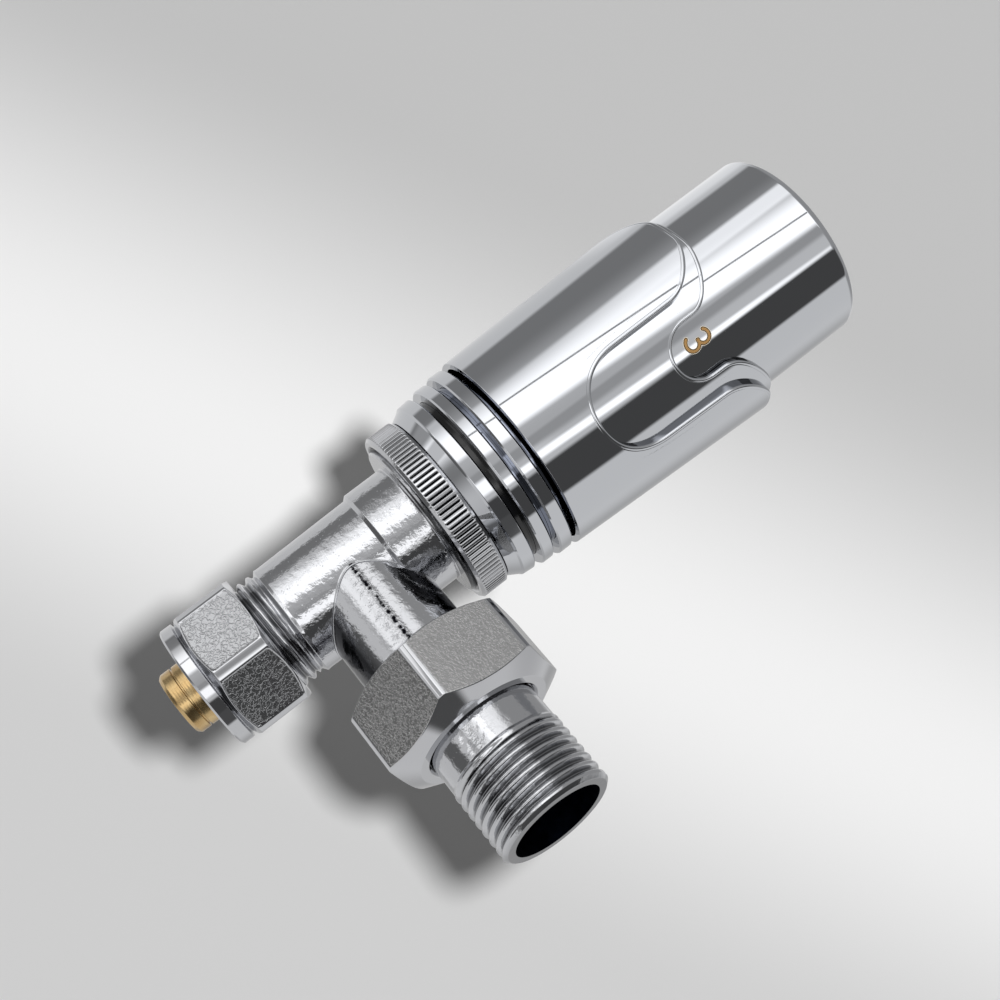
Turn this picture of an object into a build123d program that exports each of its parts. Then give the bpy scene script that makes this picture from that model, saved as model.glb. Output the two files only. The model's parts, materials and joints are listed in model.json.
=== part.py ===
from build123d import *
from math import cos, radians, sin, tan
import os

os.makedirs("parts", exist_ok=True)

# Angle radiator valve with a regulating head that senses the room's temperature.
# Frame: Z is the spindle axis and points to the dial cap, X is the radiator tail and points to its thread.
# The origin is the mouth of the pipe nozzle, on the spindle axis. Millimetres.

# Clearances
thread_gap = 0.08  # radial, between threads that are drawn as plain cylinders
running_gap = 0.06  # radial, a sliding or turning fit
press_gap = 0.04  # radial, pieces that are pressed or glued together
seat_gap = 0.05  # axial, a face that rests on another
free_gap = 0.3  # pieces that only pass each other
cone_gap = 0.15  # clamp ring in the nut's cone
seal_gap = 0.03  # a seal ring in its groove

# Main lengths
tail_height = 37.5  # radiator tail axis above the nozzle mouth
tail_reach = 57.0  # end of the tail pipe from the spindle axis

# Threads, drawn as cylinders of their outer diameter
pipe_thread_r = 20.955 / 2  # G 1/2, inlet and radiator tail
union_thread_r = 26.441 / 2  # G 3/4, branch
head_thread_r = 29.9 / 2  # M30 x 1.5, head connection
insert_thread_r = 9.5

# Compression end
nozzle_r = 6.0
nozzle_root_r = 6.3  # inside the nut's mouth, where the pipe's end stops
nozzle_bore_r = 4.5
nozzle_chamfer = 0.6
nozzle_groove_z = 2.4
nozzle_groove_width = 0.4
nozzle_groove_depth = 0.45
nozzle_flange_r = 8.9
nozzle_flange_h = 1.1
nozzle_head_r = 7.0
nozzle_head_h = 5.0
nozzle_seal_r = 0.55  # half the thickness of the seal ring's cord
nozzle_seal_z = 2.4  # above the flange
comp_nut_z = 4.7
comp_collar_r = 11.9
comp_collar_h = 2.6
comp_nut_af = 24.0
comp_nut_corner_r = 13.35
comp_nut_h = 14.25
comp_nut_angle = -1.5  # one corner, from +X
comp_mouth_r = 8.15
comp_mouth_h = 1.5
comp_cone_h = 2.7
comp_cone_r = 9.9
clamp_ring_bore_r = 8.05
clamp_ring_lead = 0.7
clamp_ring_slit = 1.2
inlet_face_z = 12.05
nut_chamfer_angle = 30.0

# Valve body
inlet_relief_z = 22.3
inlet_relief_h = 0.6
inlet_relief_r = 9.8
barrel_chamfer = 0.6
barrel_foot_r = 10.6
barrel_top_r = 11.05
collar_z = 43.65
collar_r = 11.65
collar_top_z = 51.5
head_thread_h = 5.4
inlet_bore_r = 6.4
seat_hole_r = 4.8
seat_lip_r = 5.8
seat_z = 30.0
seat_lip_h = 1.0
seat_web = 2.2
chamber_r = 8.4
insert_bore_z = 46.0
branch_r = 10.2
branch_drop = 0.8  # the forging's branch lies a little below its bore
branch_bore_r = 7.8
union_thread_x = 24.0
branch_face_x = 33.0

# Union nut and tail pipe
union_nut_x = 22.95
union_nut_end_x = 37.7
union_nut_af = 30.0
union_nut_corner_r = 17.0
union_nut_angle = 9.6  # one corner, from +Y
union_lip_r = 10.4
union_lip_width = 2.15
union_end_chamfer_r = 12.6
tail_pipe_r = 9.95
tail_flange_r = 12.3
tail_flange_width = 2.1
tail_thread_length = 11.7
tail_nose_length = 1.2
tail_thread_pitch = 1.814
tail_thread_depth = 0.95
tail_thread_slope = 27.5  # half the angle between the flanks
tail_thread_turns = 6
tail_nose_r = 9.35
tail_bore_r = 8.2
tail_bore_depth = 12.0
tail_socket_af = 12.0
tail_socket_depth = 10.0
tail_spigot = 3.0
tail_spigot_bore_r = 5.6
tail_seal_r = 0.6

# Valve insert, stem and disc
insert_hex_af = 16.0
insert_hex_h = 3.5
insert_hub_r = 6.5
insert_hub_h = 4.0
insert_seal_r = 0.6
spring_pocket_r = 5.2
spring_pocket_z = 57.5
spring_washer_h = 1.2
gland_r = 4.0
gland_h = 2.6
stem_seal_r = 0.7
stem_r = 2.0
stem_collar_r = 4.6
stem_collar_z = 54.6
stem_collar_h = 1.2
stem_spigot_r = 1.5
stem_tip_z = 67.5
disc_rest_gap = 2.75  # opening of the valve as drawn
disc_seal_r = 6.2
disc_seal_h = 1.6
disc_r = 6.6
disc_web = 1.4
disc_rim = 0.9
disc_nut_af = 4.6
disc_nut_h = 1.3
return_wire_r = 0.4

# Coupling ring
ring_z = 52.3
ring_h = 5.6
ring_r = 17.2
ring_band_r = 16.85
ring_band_h = 0.7
ring_bevel = 0.5
ring_mouth_r = 16.0
ring_mouth_h = 0.5
rib_count = 108
rib_depth = 0.42
rib_groove_width = 0.5
ring_hub_r = 15.8
ring_hub_h = 2.0
ring_lip_h = 1.15
snap_ring_h = 1.0
snap_ring_width = 1.75
snap_ring_slit = 3.0

# Head core, base cup and trim rings
core_foot_z = 57.0
core_neck_r = 13.6
core_bore_r = 10.6
core_r = 16.6
core_step_z = 60.2
core_top_z = 71.4
core_web_z = 67.4
core_web_h = 2.6
cup_z = 58.1
cup_foot_r = 16.65
cup_knee_r = 17.85
cup_knee_z = 60.1
cup_band_r = 18.2
cup_top_r = 18.4
cup_top_z = 62.9
cup_cavity_r = 16.25
trim_edge = 0.35
lower_trim_r = 18.8
lower_trim_z = 64.3
lower_trim_top_z = 66.7
upper_trim_r = 19.25
upper_trim_z = 67.7
upper_trim_top_z = 70.4
guide_r = 14.2
guide_wall = 1.6
guide_top_z = 118.0
slot_width = 4.4
slot_z = 79.6
slot_top_z = 95.0
key_count = 3

# Grip: outer sleeve with lobes, inner sleeve with notches
sleeve_z = 71.7
shell_foot_wall = 1.0
shell_top_wall = 1.45
lobe_top_z = 114.2
liner_foot_wall = 0.15  # beyond the dial's bore in the liner
liner_top_wall = 1.35
liner_top_z = 115.5
liner_lip_h = 1.5
liner_ledge_z = 96.6
screw_depth = 1.7  # from the guide tube out to the sensor screw
lobe_count = 3
recess_angle = -46.0  # middle of the recess that faces the photo
recess_half_angle = 26.7
recess_floor_z = 83.5
recess_round_h = 9.4
lobe_shoulder_z = 105.1
lobe_round_h = 9.2
lobe_flat_angle = 52.4
notch_half_angle = 15.5
notch_floor_z = 100.2
notch_round_h = 5.2
notch_shoulder_z = 107.5
notch_flare_h = 8.1
notch_flat_angle = 50.0

# Dial cap
dial_r = 18.3
dial_wall = 1.3
dial_nose_h = 6.8  # drum beyond the boss
dial_round = 1.5
dial_boss_z = 110.0
dial_boss_wall = 1.35
dial_boss_top_z = 130.0

# Sensor group
carrier_z = 82.0
carrier_ring_h = 10.0
carrier_ring_gap = 0.3  # round the guide tube
carrier_floor_h = 1.5
carrier_tube_wall = 1.2
carrier_top_z = 124.0
key_z = 84.0
key_h = 6.0
key_width = 4.0
capsule_wall_gap = 0.3
capsule_h = 30.0
capsule_nose_r = 5.8
capsule_nose_h = 3.0
capsule_groove_z = 6.0
piston_r = 2.5
piston_h = 7.0
pin_r = 3.0
pin_foot_r = 5.0
pin_foot_h = 1.6
over_spring_wire_r = 0.7
over_spring_turns = 4.5
retainer_h = 2.0

# Values worked out from the ones above
tail_axis = Axis((0, 0, tail_height), (1, 0, 0))
head_axis = Axis.Z
comp_hex_z = comp_nut_z + comp_collar_h
comp_nut_top_z = comp_nut_z + comp_nut_h
nozzle_flange_z = inlet_face_z - nozzle_flange_h - seat_gap
nozzle_top_z = inlet_face_z + nozzle_head_h
head_thread_z = collar_top_z
head_thread_top_z = head_thread_z + head_thread_h
disc_seal_z = seat_z + disc_rest_gap
disc_z = disc_seal_z + disc_seal_h
disc_top_z = disc_z + disc_web
washer_z = insert_bore_z + seat_gap
washer_top_z = washer_z + spring_washer_h
gland_z = core_foot_z + insert_hex_h + insert_hub_h - gland_h
tail_thread_end_x = tail_reach - tail_nose_length
tail_thread_x = tail_thread_end_x - tail_thread_length
guide_bore_r = guide_r - guide_wall
carrier_ring_r = guide_r + carrier_ring_gap
screw_r = guide_r + screw_depth
dial_top_z = dial_boss_top_z + dial_nose_h
liner_bore_r = dial_r + free_gap / 2
liner_foot_r = liner_bore_r + liner_foot_wall
liner_top_r = liner_bore_r + liner_top_wall
shell_foot_r = liner_foot_r + shell_foot_wall
shell_top_r = liner_top_r + shell_top_wall
carrier_tube_r = guide_bore_r - running_gap
carrier_bore_r = carrier_tube_r - carrier_tube_wall
capsule_z = carrier_z + seat_gap
capsule_r = carrier_bore_r - capsule_wall_gap
capsule_top_z = capsule_z + capsule_h
pin_top_z = capsule_z - capsule_nose_h - seat_gap
retainer_z = carrier_top_z - retainer_h


def turned(*corners):
    """Closed profile on the XZ plane, corners given as (radius, height)."""
    with BuildSketch(Plane.XZ) as profile:
        with BuildLine():
            Polyline(*corners, close=True)
        make_face()
    return profile.sketch


def turned_on_tail(*corners):
    """Closed profile for a piece on the tail axis, corners given as (distance along X, radius)."""
    return turned(*[(x, tail_height + r) for x, r in corners])


def cord_ring(r, z, cord_r, axis_height=None):
    """Section of a seal ring about the spindle, or about the tail axis at its height."""
    place = (r, z) if axis_height is None else (z, axis_height + r)
    with BuildSketch(Plane.XZ) as section:
        with Locations(place):
            Circle(cord_r)
    return section.sketch


def coil(radius, wire_r, low_z, high_z, turns):
    """Round wire wound into an open coil between two heights."""
    run = high_z - low_z - 2 * wire_r
    with BuildPart() as wire:
        with BuildLine():
            path = Helix(run / turns, run, radius, center=(0, 0, low_z + wire_r))
        with BuildSketch(Plane(origin=path @ 0, z_dir=path % 0)):
            RegularPolygon(wire_r, 6)
        sweep(is_frenet=True)
    return wire.part


def window_outline(distance, angle, half_angle, floor_z, round_h, shoulder_z, flare_h, flat_angle, top_z):
    """Outline of one window of a sleeve, on the plane at a distance from the axis."""
    side = distance * tan(radians(half_angle))
    flat = distance * tan(radians(flat_angle))
    outward = (cos(radians(angle)), sin(radians(angle)), 0)
    across = (-outward[1], outward[0], 0)
    centre = (distance * outward[0], distance * outward[1], 0)
    with BuildSketch(Plane(origin=centre, x_dir=across, z_dir=outward)) as outline:
        with BuildLine():
            EllipticalCenterArc((0, floor_z + round_h), side, round_h, 180, arc_size=180)
            Line((side, floor_z + round_h), (side, shoulder_z))
            EllipticalCenterArc((flat, shoulder_z), flat - side, flare_h, 180, arc_size=-90)
            Polyline((flat, shoulder_z + flare_h), (flat, top_z), (-flat, top_z), (-flat, shoulder_z + flare_h))
            EllipticalCenterArc((-flat, shoulder_z), flat - side, flare_h, 90, arc_size=-90)
            Line((-side, shoulder_z), (-side, floor_z + round_h))
        make_face()
    return outline.sketch


def window(inner_r, outer_r, *shape):
    """Cutter whose walls point at the spindle axis, from inside one radius to outside another."""
    near = window_outline(inner_r * cos(radians(shape[-2])), *shape)
    far = window_outline(outer_r + 2 * free_gap, *shape)
    return loft([near, far], ruled=True, mode=Mode.PRIVATE)


# Valve body: one forging with the inlet, the barrel, the head connection and the side branch
with BuildPart() as valve_body:
    revolve(
        turned(
            (0, inlet_face_z),
            (pipe_thread_r - barrel_chamfer, inlet_face_z),
            (pipe_thread_r, inlet_face_z + barrel_chamfer),
            (pipe_thread_r, inlet_relief_z),
            (inlet_relief_r, inlet_relief_z + inlet_relief_h / 2),
            (inlet_relief_r, inlet_relief_z + inlet_relief_h),
            (barrel_foot_r, inlet_relief_z + inlet_relief_h + barrel_chamfer),
            (barrel_top_r, collar_z - barrel_chamfer / 2),
            (collar_r, collar_z),
            (collar_r, head_thread_z),
            (head_thread_r, head_thread_z),
            (head_thread_r, head_thread_top_z),
            (0, head_thread_top_z),
        ),
        head_axis,
    )
    with BuildSketch(Plane.YZ):
        with Locations((0, tail_height - branch_drop)):
            Circle(branch_r)
    extrude(amount=union_thread_x)
    with BuildSketch(Plane.YZ.offset(union_thread_x - barrel_chamfer)):
        with Locations((0, tail_height)):
            Circle(union_thread_r)
    extrude(amount=branch_face_x - union_thread_x + barrel_chamfer)
    # Waterway from the inlet through the seat to the chamber, with the bore for the insert above it
    revolve(
        turned(
            (0, inlet_face_z),
            (nozzle_head_r + press_gap, inlet_face_z),
            (nozzle_head_r + press_gap, nozzle_top_z + seat_gap),
            (inlet_bore_r, nozzle_top_z + seat_gap),
            (inlet_bore_r, seat_z - seat_lip_h - seat_web),
            (seat_hole_r, seat_z - seat_web),
            (seat_hole_r, seat_z),
            (seat_lip_r, seat_z),
            (seat_lip_r, seat_z - seat_lip_h),
            (chamber_r, seat_z - seat_lip_h),
            (chamber_r, insert_bore_z),
            (insert_thread_r + thread_gap, insert_bore_z),
            (insert_thread_r + thread_gap, head_thread_top_z),
            (0, head_thread_top_z),
        ),
        head_axis,
        mode=Mode.SUBTRACT,
    )
    with BuildSketch(Plane.YZ):
        with Locations((0, tail_height)):
            Circle(branch_bore_r)
    extrude(amount=branch_face_x, mode=Mode.SUBTRACT)
    # The seat's lip stands in the branch bore's way and is put back
    revolve(
        turned(
            (seat_hole_r, seat_z - seat_web),
            (seat_lip_r, seat_z - seat_web),
            (seat_lip_r, seat_z),
            (seat_hole_r, seat_z),
        ),
        head_axis,
    )
valve_body.part.label = "valve_body"
export_step(valve_body.part, "parts/valve_body.step")

# Pipe nozzle: the pipe's inner wall slides over it
with BuildPart() as pipe_nozzle:
    revolve(
        turned(
            (nozzle_bore_r, 0),
            (nozzle_r - nozzle_chamfer, 0),
            (nozzle_r, nozzle_chamfer),
            (nozzle_r, nozzle_groove_z),
            (nozzle_r - nozzle_groove_depth, nozzle_groove_z),
            (nozzle_r - nozzle_groove_depth, nozzle_groove_z + nozzle_groove_width),
            (nozzle_r, nozzle_groove_z + nozzle_groove_width),
            (nozzle_r, comp_nut_z),
            (nozzle_root_r, comp_nut_z),
            (nozzle_root_r, nozzle_flange_z),
            (nozzle_flange_r, nozzle_flange_z),
            (nozzle_flange_r, inlet_face_z - seat_gap),
            (nozzle_head_r, inlet_face_z - seat_gap),
            (nozzle_head_r, inlet_face_z + nozzle_seal_z - nozzle_seal_r - seal_gap),
            (nozzle_head_r - 2 * nozzle_seal_r, inlet_face_z + nozzle_seal_z - nozzle_seal_r - seal_gap),
            (nozzle_head_r - 2 * nozzle_seal_r, inlet_face_z + nozzle_seal_z + nozzle_seal_r + seal_gap),
            (nozzle_head_r, inlet_face_z + nozzle_seal_z + nozzle_seal_r + seal_gap),
            (nozzle_head_r, nozzle_top_z),
            (nozzle_bore_r, nozzle_top_z),
        ),
        head_axis,
    )
pipe_nozzle.part.label = "pipe_nozzle"
export_step(pipe_nozzle.part, "parts/pipe_nozzle.step")

with BuildPart() as nozzle_seal:
    revolve(cord_ring(nozzle_head_r - nozzle_seal_r, inlet_face_z + nozzle_seal_z, nozzle_seal_r - seal_gap), head_axis)
nozzle_seal.part.label = "nozzle_seal"
export_step(nozzle_seal.part, "parts/nozzle_seal.step")

# Split clamp ring that the nut's cone squeezes round the pipe
clamp_top_z = nozzle_flange_z - seat_gap
clamp_foot_z = comp_nut_z + comp_mouth_h + clamp_ring_lead
clamp_slope = (comp_cone_r - comp_mouth_r) / comp_cone_h
clamp_foot_r = comp_mouth_r + clamp_slope * clamp_ring_lead - cone_gap
clamp_ring_r = comp_cone_r - cone_gap
with BuildPart() as clamp_ring:
    revolve(
        turned(
            (clamp_ring_bore_r, clamp_foot_z),
            (clamp_foot_r, clamp_foot_z),
            (clamp_ring_r, comp_nut_z + comp_mouth_h + comp_cone_h),
            (clamp_ring_r, clamp_top_z),
            (clamp_ring_bore_r, clamp_top_z),
        ),
        head_axis,
    )
    with Locations((clamp_ring_r, 0, clamp_top_z)):
        Box(clamp_ring_r, clamp_ring_slit, 4 * (clamp_top_z - clamp_foot_z), mode=Mode.SUBTRACT)
clamp_ring.part.label = "clamp_ring"
export_step(clamp_ring.part, "parts/clamp_ring.step")


def nut_corner_drop(corner_r, af):
    """Height lost at a nut's corner by its chamfer cone."""
    return (corner_r - af / 2) * tan(radians(nut_chamfer_angle))


# Compression nut: hexagon with turned corners and a round collar at its mouth
comp_drop = nut_corner_drop(comp_nut_corner_r, comp_nut_af)
comp_face_r = comp_nut_af / 2 - 1.0
comp_face_drop = nut_corner_drop(comp_nut_corner_r, 2 * comp_face_r)
with BuildPart() as compression_nut:
    with BuildSketch(Plane.XY.offset(comp_hex_z)):
        RegularPolygon(comp_nut_af / 2, 6, major_radius=False, rotation=comp_nut_angle)
    extrude(amount=comp_nut_top_z - comp_hex_z)
    revolve(
        turned(
            (0, comp_hex_z),
            (comp_face_r, comp_hex_z),
            (comp_nut_corner_r, comp_hex_z + comp_face_drop),
            (comp_nut_corner_r, comp_nut_top_z - comp_drop),
            (comp_nut_af / 2, comp_nut_top_z),
            (0, comp_nut_top_z),
        ),
        head_axis,
        mode=Mode.INTERSECT,
    )
    revolve(
        turned(
            (0, comp_nut_z),
            (comp_collar_r - trim_edge, comp_nut_z),
            (comp_collar_r, comp_nut_z + trim_edge),
            (comp_collar_r, comp_hex_z),
            (comp_face_r, comp_hex_z + trim_edge),
            (0, comp_hex_z + trim_edge),
        ),
        head_axis,
    )
    revolve(
        turned(
            (0, comp_nut_z),
            (comp_mouth_r, comp_nut_z),
            (comp_mouth_r, comp_nut_z + comp_mouth_h),
            (comp_cone_r, comp_nut_z + comp_mouth_h + comp_cone_h),
            (comp_cone_r, inlet_face_z - seat_gap),
            (pipe_thread_r + thread_gap, inlet_face_z - seat_gap),
            (pipe_thread_r + thread_gap, comp_nut_top_z),
            (0, comp_nut_top_z),
        ),
        head_axis,
        mode=Mode.SUBTRACT,
    )
compression_nut.part.label = "compression_nut"
export_step(compression_nut.part, "parts/compression_nut.step")

# Union nut: hexagon that draws the tail pipe's flange to the branch
union_drop = nut_corner_drop(union_nut_corner_r, union_nut_af)
union_end_drop = nut_corner_drop(union_nut_corner_r, 2 * union_end_chamfer_r)
with BuildPart() as union_nut:
    with BuildSketch(Plane.YZ.offset(union_nut_x)):
        with Locations((0, tail_height)):
            RegularPolygon(union_nut_af / 2, 6, major_radius=False, rotation=union_nut_angle)
    extrude(amount=union_nut_end_x - union_nut_x)
    revolve(
        turned_on_tail(
            (union_nut_x, 0),
            (union_nut_x, union_nut_af / 2 - trim_edge),
            (union_nut_x + union_drop + trim_edge, union_nut_corner_r),
            (union_nut_end_x - union_end_drop, union_nut_corner_r),
            (union_nut_end_x, union_end_chamfer_r),
            (union_nut_end_x, 0),
        ),
        tail_axis,
        mode=Mode.INTERSECT,
    )
    revolve(
        turned_on_tail(
            (union_nut_x, 0),
            (union_nut_x, union_thread_r + thread_gap),
            (union_nut_end_x - union_lip_width, union_thread_r + thread_gap),
            (union_nut_end_x - union_lip_width, union_lip_r),
            (union_nut_end_x, union_lip_r),
            (union_nut_end_x, 0),
        ),
        tail_axis,
        mode=Mode.SUBTRACT,
    )
union_nut.part.label = "union_nut"
export_step(union_nut.part, "parts/union_nut.step")

# Tail pipe: flange behind the union nut's lip, radiator thread drawn as rings, hexagon socket for the fitting key
tail_flange_end_x = union_nut_end_x - union_lip_width - seat_gap
tail_flange_x = tail_flange_end_x - tail_flange_width
tail_spigot_x = tail_flange_x - tail_spigot
tail_seal_x = tail_flange_x - tail_spigot / 2
tail_root_r = pipe_thread_r - tail_thread_depth
tail_groove_half = tail_thread_depth * tan(radians(tail_thread_slope))
tail_first_groove_x = (tail_thread_x + tail_thread_end_x - (tail_thread_turns - 1) * tail_thread_pitch) / 2
tail_groove_places = [tail_first_groove_x + tail_thread_pitch * n for n in range(tail_thread_turns)]
thread_corners = []
for groove_x in tail_groove_places:
    thread_corners.append((groove_x - tail_groove_half, pipe_thread_r))
    thread_corners.append((groove_x, tail_root_r))
    thread_corners.append((groove_x + tail_groove_half, pipe_thread_r))
with BuildPart() as tail_pipe:
    revolve(
        turned_on_tail(
            (tail_spigot_x, 0),
            (tail_spigot_x, branch_bore_r - press_gap),
            (tail_seal_x - tail_seal_r - seal_gap, branch_bore_r - press_gap),
            (tail_seal_x - tail_seal_r - seal_gap, branch_bore_r - 2 * tail_seal_r),
            (tail_seal_x + tail_seal_r + seal_gap, branch_bore_r - 2 * tail_seal_r),
            (tail_seal_x + tail_seal_r + seal_gap, branch_bore_r - press_gap),
            (tail_flange_x, branch_bore_r - press_gap),
            (tail_flange_x, tail_flange_r),
            (tail_flange_end_x, tail_flange_r),
            (tail_flange_end_x, tail_pipe_r),
            (tail_thread_x - barrel_chamfer, tail_pipe_r),
            (tail_thread_x, pipe_thread_r),
            *thread_corners,
            (tail_thread_end_x, pipe_thread_r),
            (tail_reach, tail_nose_r),
            (tail_reach, 0),
        ),
        tail_axis,
    )
    with BuildSketch(Plane.YZ.offset(tail_reach)):
        with Locations((0, tail_height)):
            Circle(tail_bore_r)
    extrude(amount=-tail_bore_depth, mode=Mode.SUBTRACT)
    with BuildSketch(Plane.YZ.offset(tail_reach - tail_bore_depth)):
        with Locations((0, tail_height)):
            RegularPolygon(tail_socket_af / 2, 6, major_radius=False)
    extrude(amount=-tail_socket_depth, mode=Mode.SUBTRACT)
    with BuildSketch(Plane.YZ.offset(tail_spigot_x)):
        with Locations((0, tail_height)):
            Circle(tail_spigot_bore_r)
    extrude(amount=tail_reach - tail_bore_depth - tail_spigot_x, mode=Mode.SUBTRACT)
tail_pipe.part.label = "tail_pipe"
export_step(tail_pipe.part, "parts/tail_pipe.step")

with BuildPart() as tail_seal:
    revolve(cord_ring(branch_bore_r - tail_seal_r, tail_seal_x, tail_seal_r - seal_gap, tail_height), tail_axis)
tail_seal.part.label = "tail_seal"
export_step(tail_seal.part, "parts/tail_seal.step")

# Valve insert: screwed into the body, holds the return spring and guides the stem
insert_seal_z = insert_bore_z + 2.5
with BuildPart() as valve_insert:
    revolve(
        turned(
            (0, insert_bore_z + seat_gap),
            (insert_thread_r, insert_bore_z + seat_gap),
            (insert_thread_r, insert_seal_z - insert_seal_r - seal_gap),
            (insert_thread_r - 2 * insert_seal_r, insert_seal_z - insert_seal_r - seal_gap),
            (insert_thread_r - 2 * insert_seal_r, insert_seal_z + insert_seal_r + seal_gap),
            (insert_thread_r, insert_seal_z + insert_seal_r + seal_gap),
            (insert_thread_r, head_thread_top_z),
            (insert_hub_r, head_thread_top_z),
            (insert_hub_r, core_foot_z + insert_hex_h + insert_hub_h),
            (0, core_foot_z + insert_hex_h + insert_hub_h),
        ),
        head_axis,
    )
    with BuildSketch(Plane.XY.offset(head_thread_top_z)):
        RegularPolygon(insert_hex_af / 2, 6, major_radius=False)
    extrude(amount=insert_hex_h)
    revolve(
        turned(
            (0, washer_z - seat_gap),
            (spring_pocket_r, washer_z - seat_gap),
            (spring_pocket_r, spring_pocket_z),
            (stem_r + running_gap, spring_pocket_z),
            (stem_r + running_gap, gland_z - 2 * stem_seal_r - seat_gap),
            (gland_r, gland_z - 2 * stem_seal_r - seat_gap),
            (gland_r, core_foot_z + insert_hex_h + insert_hub_h),
            (0, core_foot_z + insert_hex_h + insert_hub_h),
        ),
        head_axis,
        mode=Mode.SUBTRACT,
    )
valve_insert.part.label = "valve_insert"
export_step(valve_insert.part, "parts/valve_insert.step")

with BuildPart() as insert_seal:
    revolve(cord_ring(insert_thread_r - insert_seal_r, insert_seal_z, insert_seal_r - seal_gap), head_axis)
insert_seal.part.label = "insert_seal"
export_step(insert_seal.part, "parts/insert_seal.step")

with BuildPart() as spring_washer:
    revolve(
        turned(
            (stem_r + free_gap, washer_z),
            (spring_pocket_r - press_gap, washer_z),
            (spring_pocket_r - press_gap, washer_top_z),
            (stem_r + free_gap, washer_top_z),
        ),
        head_axis,
    )
spring_washer.part.label = "spring_washer"
export_step(spring_washer.part, "parts/spring_washer.step")

return_coil_r = stem_collar_r - return_wire_r
with BuildPart() as return_spring:
    add(coil(return_coil_r, return_wire_r, washer_top_z + seat_gap, stem_collar_z - seat_gap, 4.5))
return_spring.part.label = "return_spring"
export_step(return_spring.part, "parts/return_spring.step")

with BuildPart() as stem_seal:
    revolve(cord_ring(stem_r + running_gap + stem_seal_r, gland_z - stem_seal_r - seat_gap / 2, stem_seal_r - seal_gap), head_axis)
stem_seal.part.label = "stem_seal"
export_step(stem_seal.part, "parts/stem_seal.step")

with BuildPart() as gland_nut:
    revolve(
        turned(
            (stem_r + running_gap, gland_z),
            (gland_r - press_gap, gland_z),
            (gland_r - press_gap, gland_z + gland_h),
            (stem_r + running_gap, gland_z + gland_h),
        ),
        head_axis,
    )
gland_nut.part.label = "gland_nut"
export_step(gland_nut.part, "parts/gland_nut.step")

# Stem with its spring collar, and the disc, seal and nut on its lower end
with BuildPart() as valve_stem:
    revolve(
        turned(
            (0, disc_seal_z - disc_nut_h - seat_gap),
            (stem_spigot_r, disc_seal_z - disc_nut_h - seat_gap),
            (stem_spigot_r, disc_top_z + seat_gap),
            (stem_r, disc_top_z + seat_gap),
            (stem_r, stem_collar_z),
            (stem_collar_r, stem_collar_z),
            (stem_collar_r, stem_collar_z + stem_collar_h),
            (stem_r, stem_collar_z + stem_collar_h),
            (stem_r, stem_tip_z),
            (0, stem_tip_z),
        ),
        head_axis,
    )
valve_stem.part.label = "valve_stem"
export_step(valve_stem.part, "parts/valve_stem.step")

with BuildPart() as valve_disc:
    revolve(
        turned(
            (stem_spigot_r + press_gap, disc_z),
            (disc_seal_r + press_gap, disc_z),
            (disc_seal_r + press_gap, disc_z - disc_rim),
            (disc_r, disc_z - disc_rim),
            (disc_r, disc_top_z),
            (stem_spigot_r + press_gap, disc_top_z),
        ),
        head_axis,
    )
valve_disc.part.label = "valve_disc"
export_step(valve_disc.part, "parts/valve_disc.step")

with BuildPart() as disc_seal:
    revolve(
        turned(
            (stem_spigot_r + press_gap, disc_seal_z),
            (disc_seal_r, disc_seal_z),
            (disc_seal_r, disc_z - seal_gap),
            (stem_spigot_r + press_gap, disc_z - seal_gap),
        ),
        head_axis,
    )
disc_seal.part.label = "disc_seal"
export_step(disc_seal.part, "parts/disc_seal.step")

with BuildPart() as disc_nut:
    with BuildSketch(Plane.XY.offset(disc_seal_z - seal_gap)):
        RegularPolygon(disc_nut_af / 2, 6, major_radius=False)
        Circle(stem_spigot_r + press_gap, mode=Mode.SUBTRACT)
    extrude(amount=-disc_nut_h)
disc_nut.part.label = "disc_nut"
export_step(disc_nut.part, "parts/disc_nut.step")

# Coupling ring: straight knurl between two plain bands, internal thread and a lip that pulls the head down
ring_top_z = ring_z + ring_h
ring_hub_top_z = ring_top_z + ring_hub_h
ring_lip_z = ring_hub_top_z - ring_lip_h
with BuildPart() as coupling_ring:
    with BuildSketch(Plane.XY.offset(ring_z + ring_band_h)):
        Circle(ring_r)
        with PolarLocations(ring_r, rib_count):
            Rectangle(2 * rib_depth, rib_groove_width, mode=Mode.SUBTRACT)
    extrude(amount=ring_h - 2 * ring_band_h)
    revolve(
        turned(
            (0, ring_z),
            (ring_band_r - ring_bevel, ring_z),
            (ring_band_r, ring_z + ring_bevel),
            (ring_band_r, ring_z + ring_band_h),
            (ring_hub_r, ring_z + ring_band_h),
            (ring_hub_r, ring_top_z - ring_band_h),
            (ring_band_r, ring_top_z - ring_band_h),
            (ring_band_r, ring_top_z - ring_bevel),
            (ring_band_r - ring_bevel, ring_top_z),
            (ring_hub_r, ring_top_z),
            (ring_hub_r, ring_hub_top_z),
            (0, ring_hub_top_z),
        ),
        head_axis,
    )
    revolve(
        turned(
            (0, ring_z),
            (ring_mouth_r, ring_z),
            (ring_mouth_r, ring_z + ring_mouth_h),
            (head_thread_r + thread_gap, ring_z + ring_mouth_h),
            (head_thread_r + thread_gap, ring_lip_z),
            (core_neck_r + running_gap, ring_lip_z),
            (core_neck_r + running_gap, ring_hub_top_z),
            (0, ring_hub_top_z),
        ),
        head_axis,
        mode=Mode.SUBTRACT,
    )
coupling_ring.part.label = "coupling_ring"
export_step(coupling_ring.part, "parts/coupling_ring.step")

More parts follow.
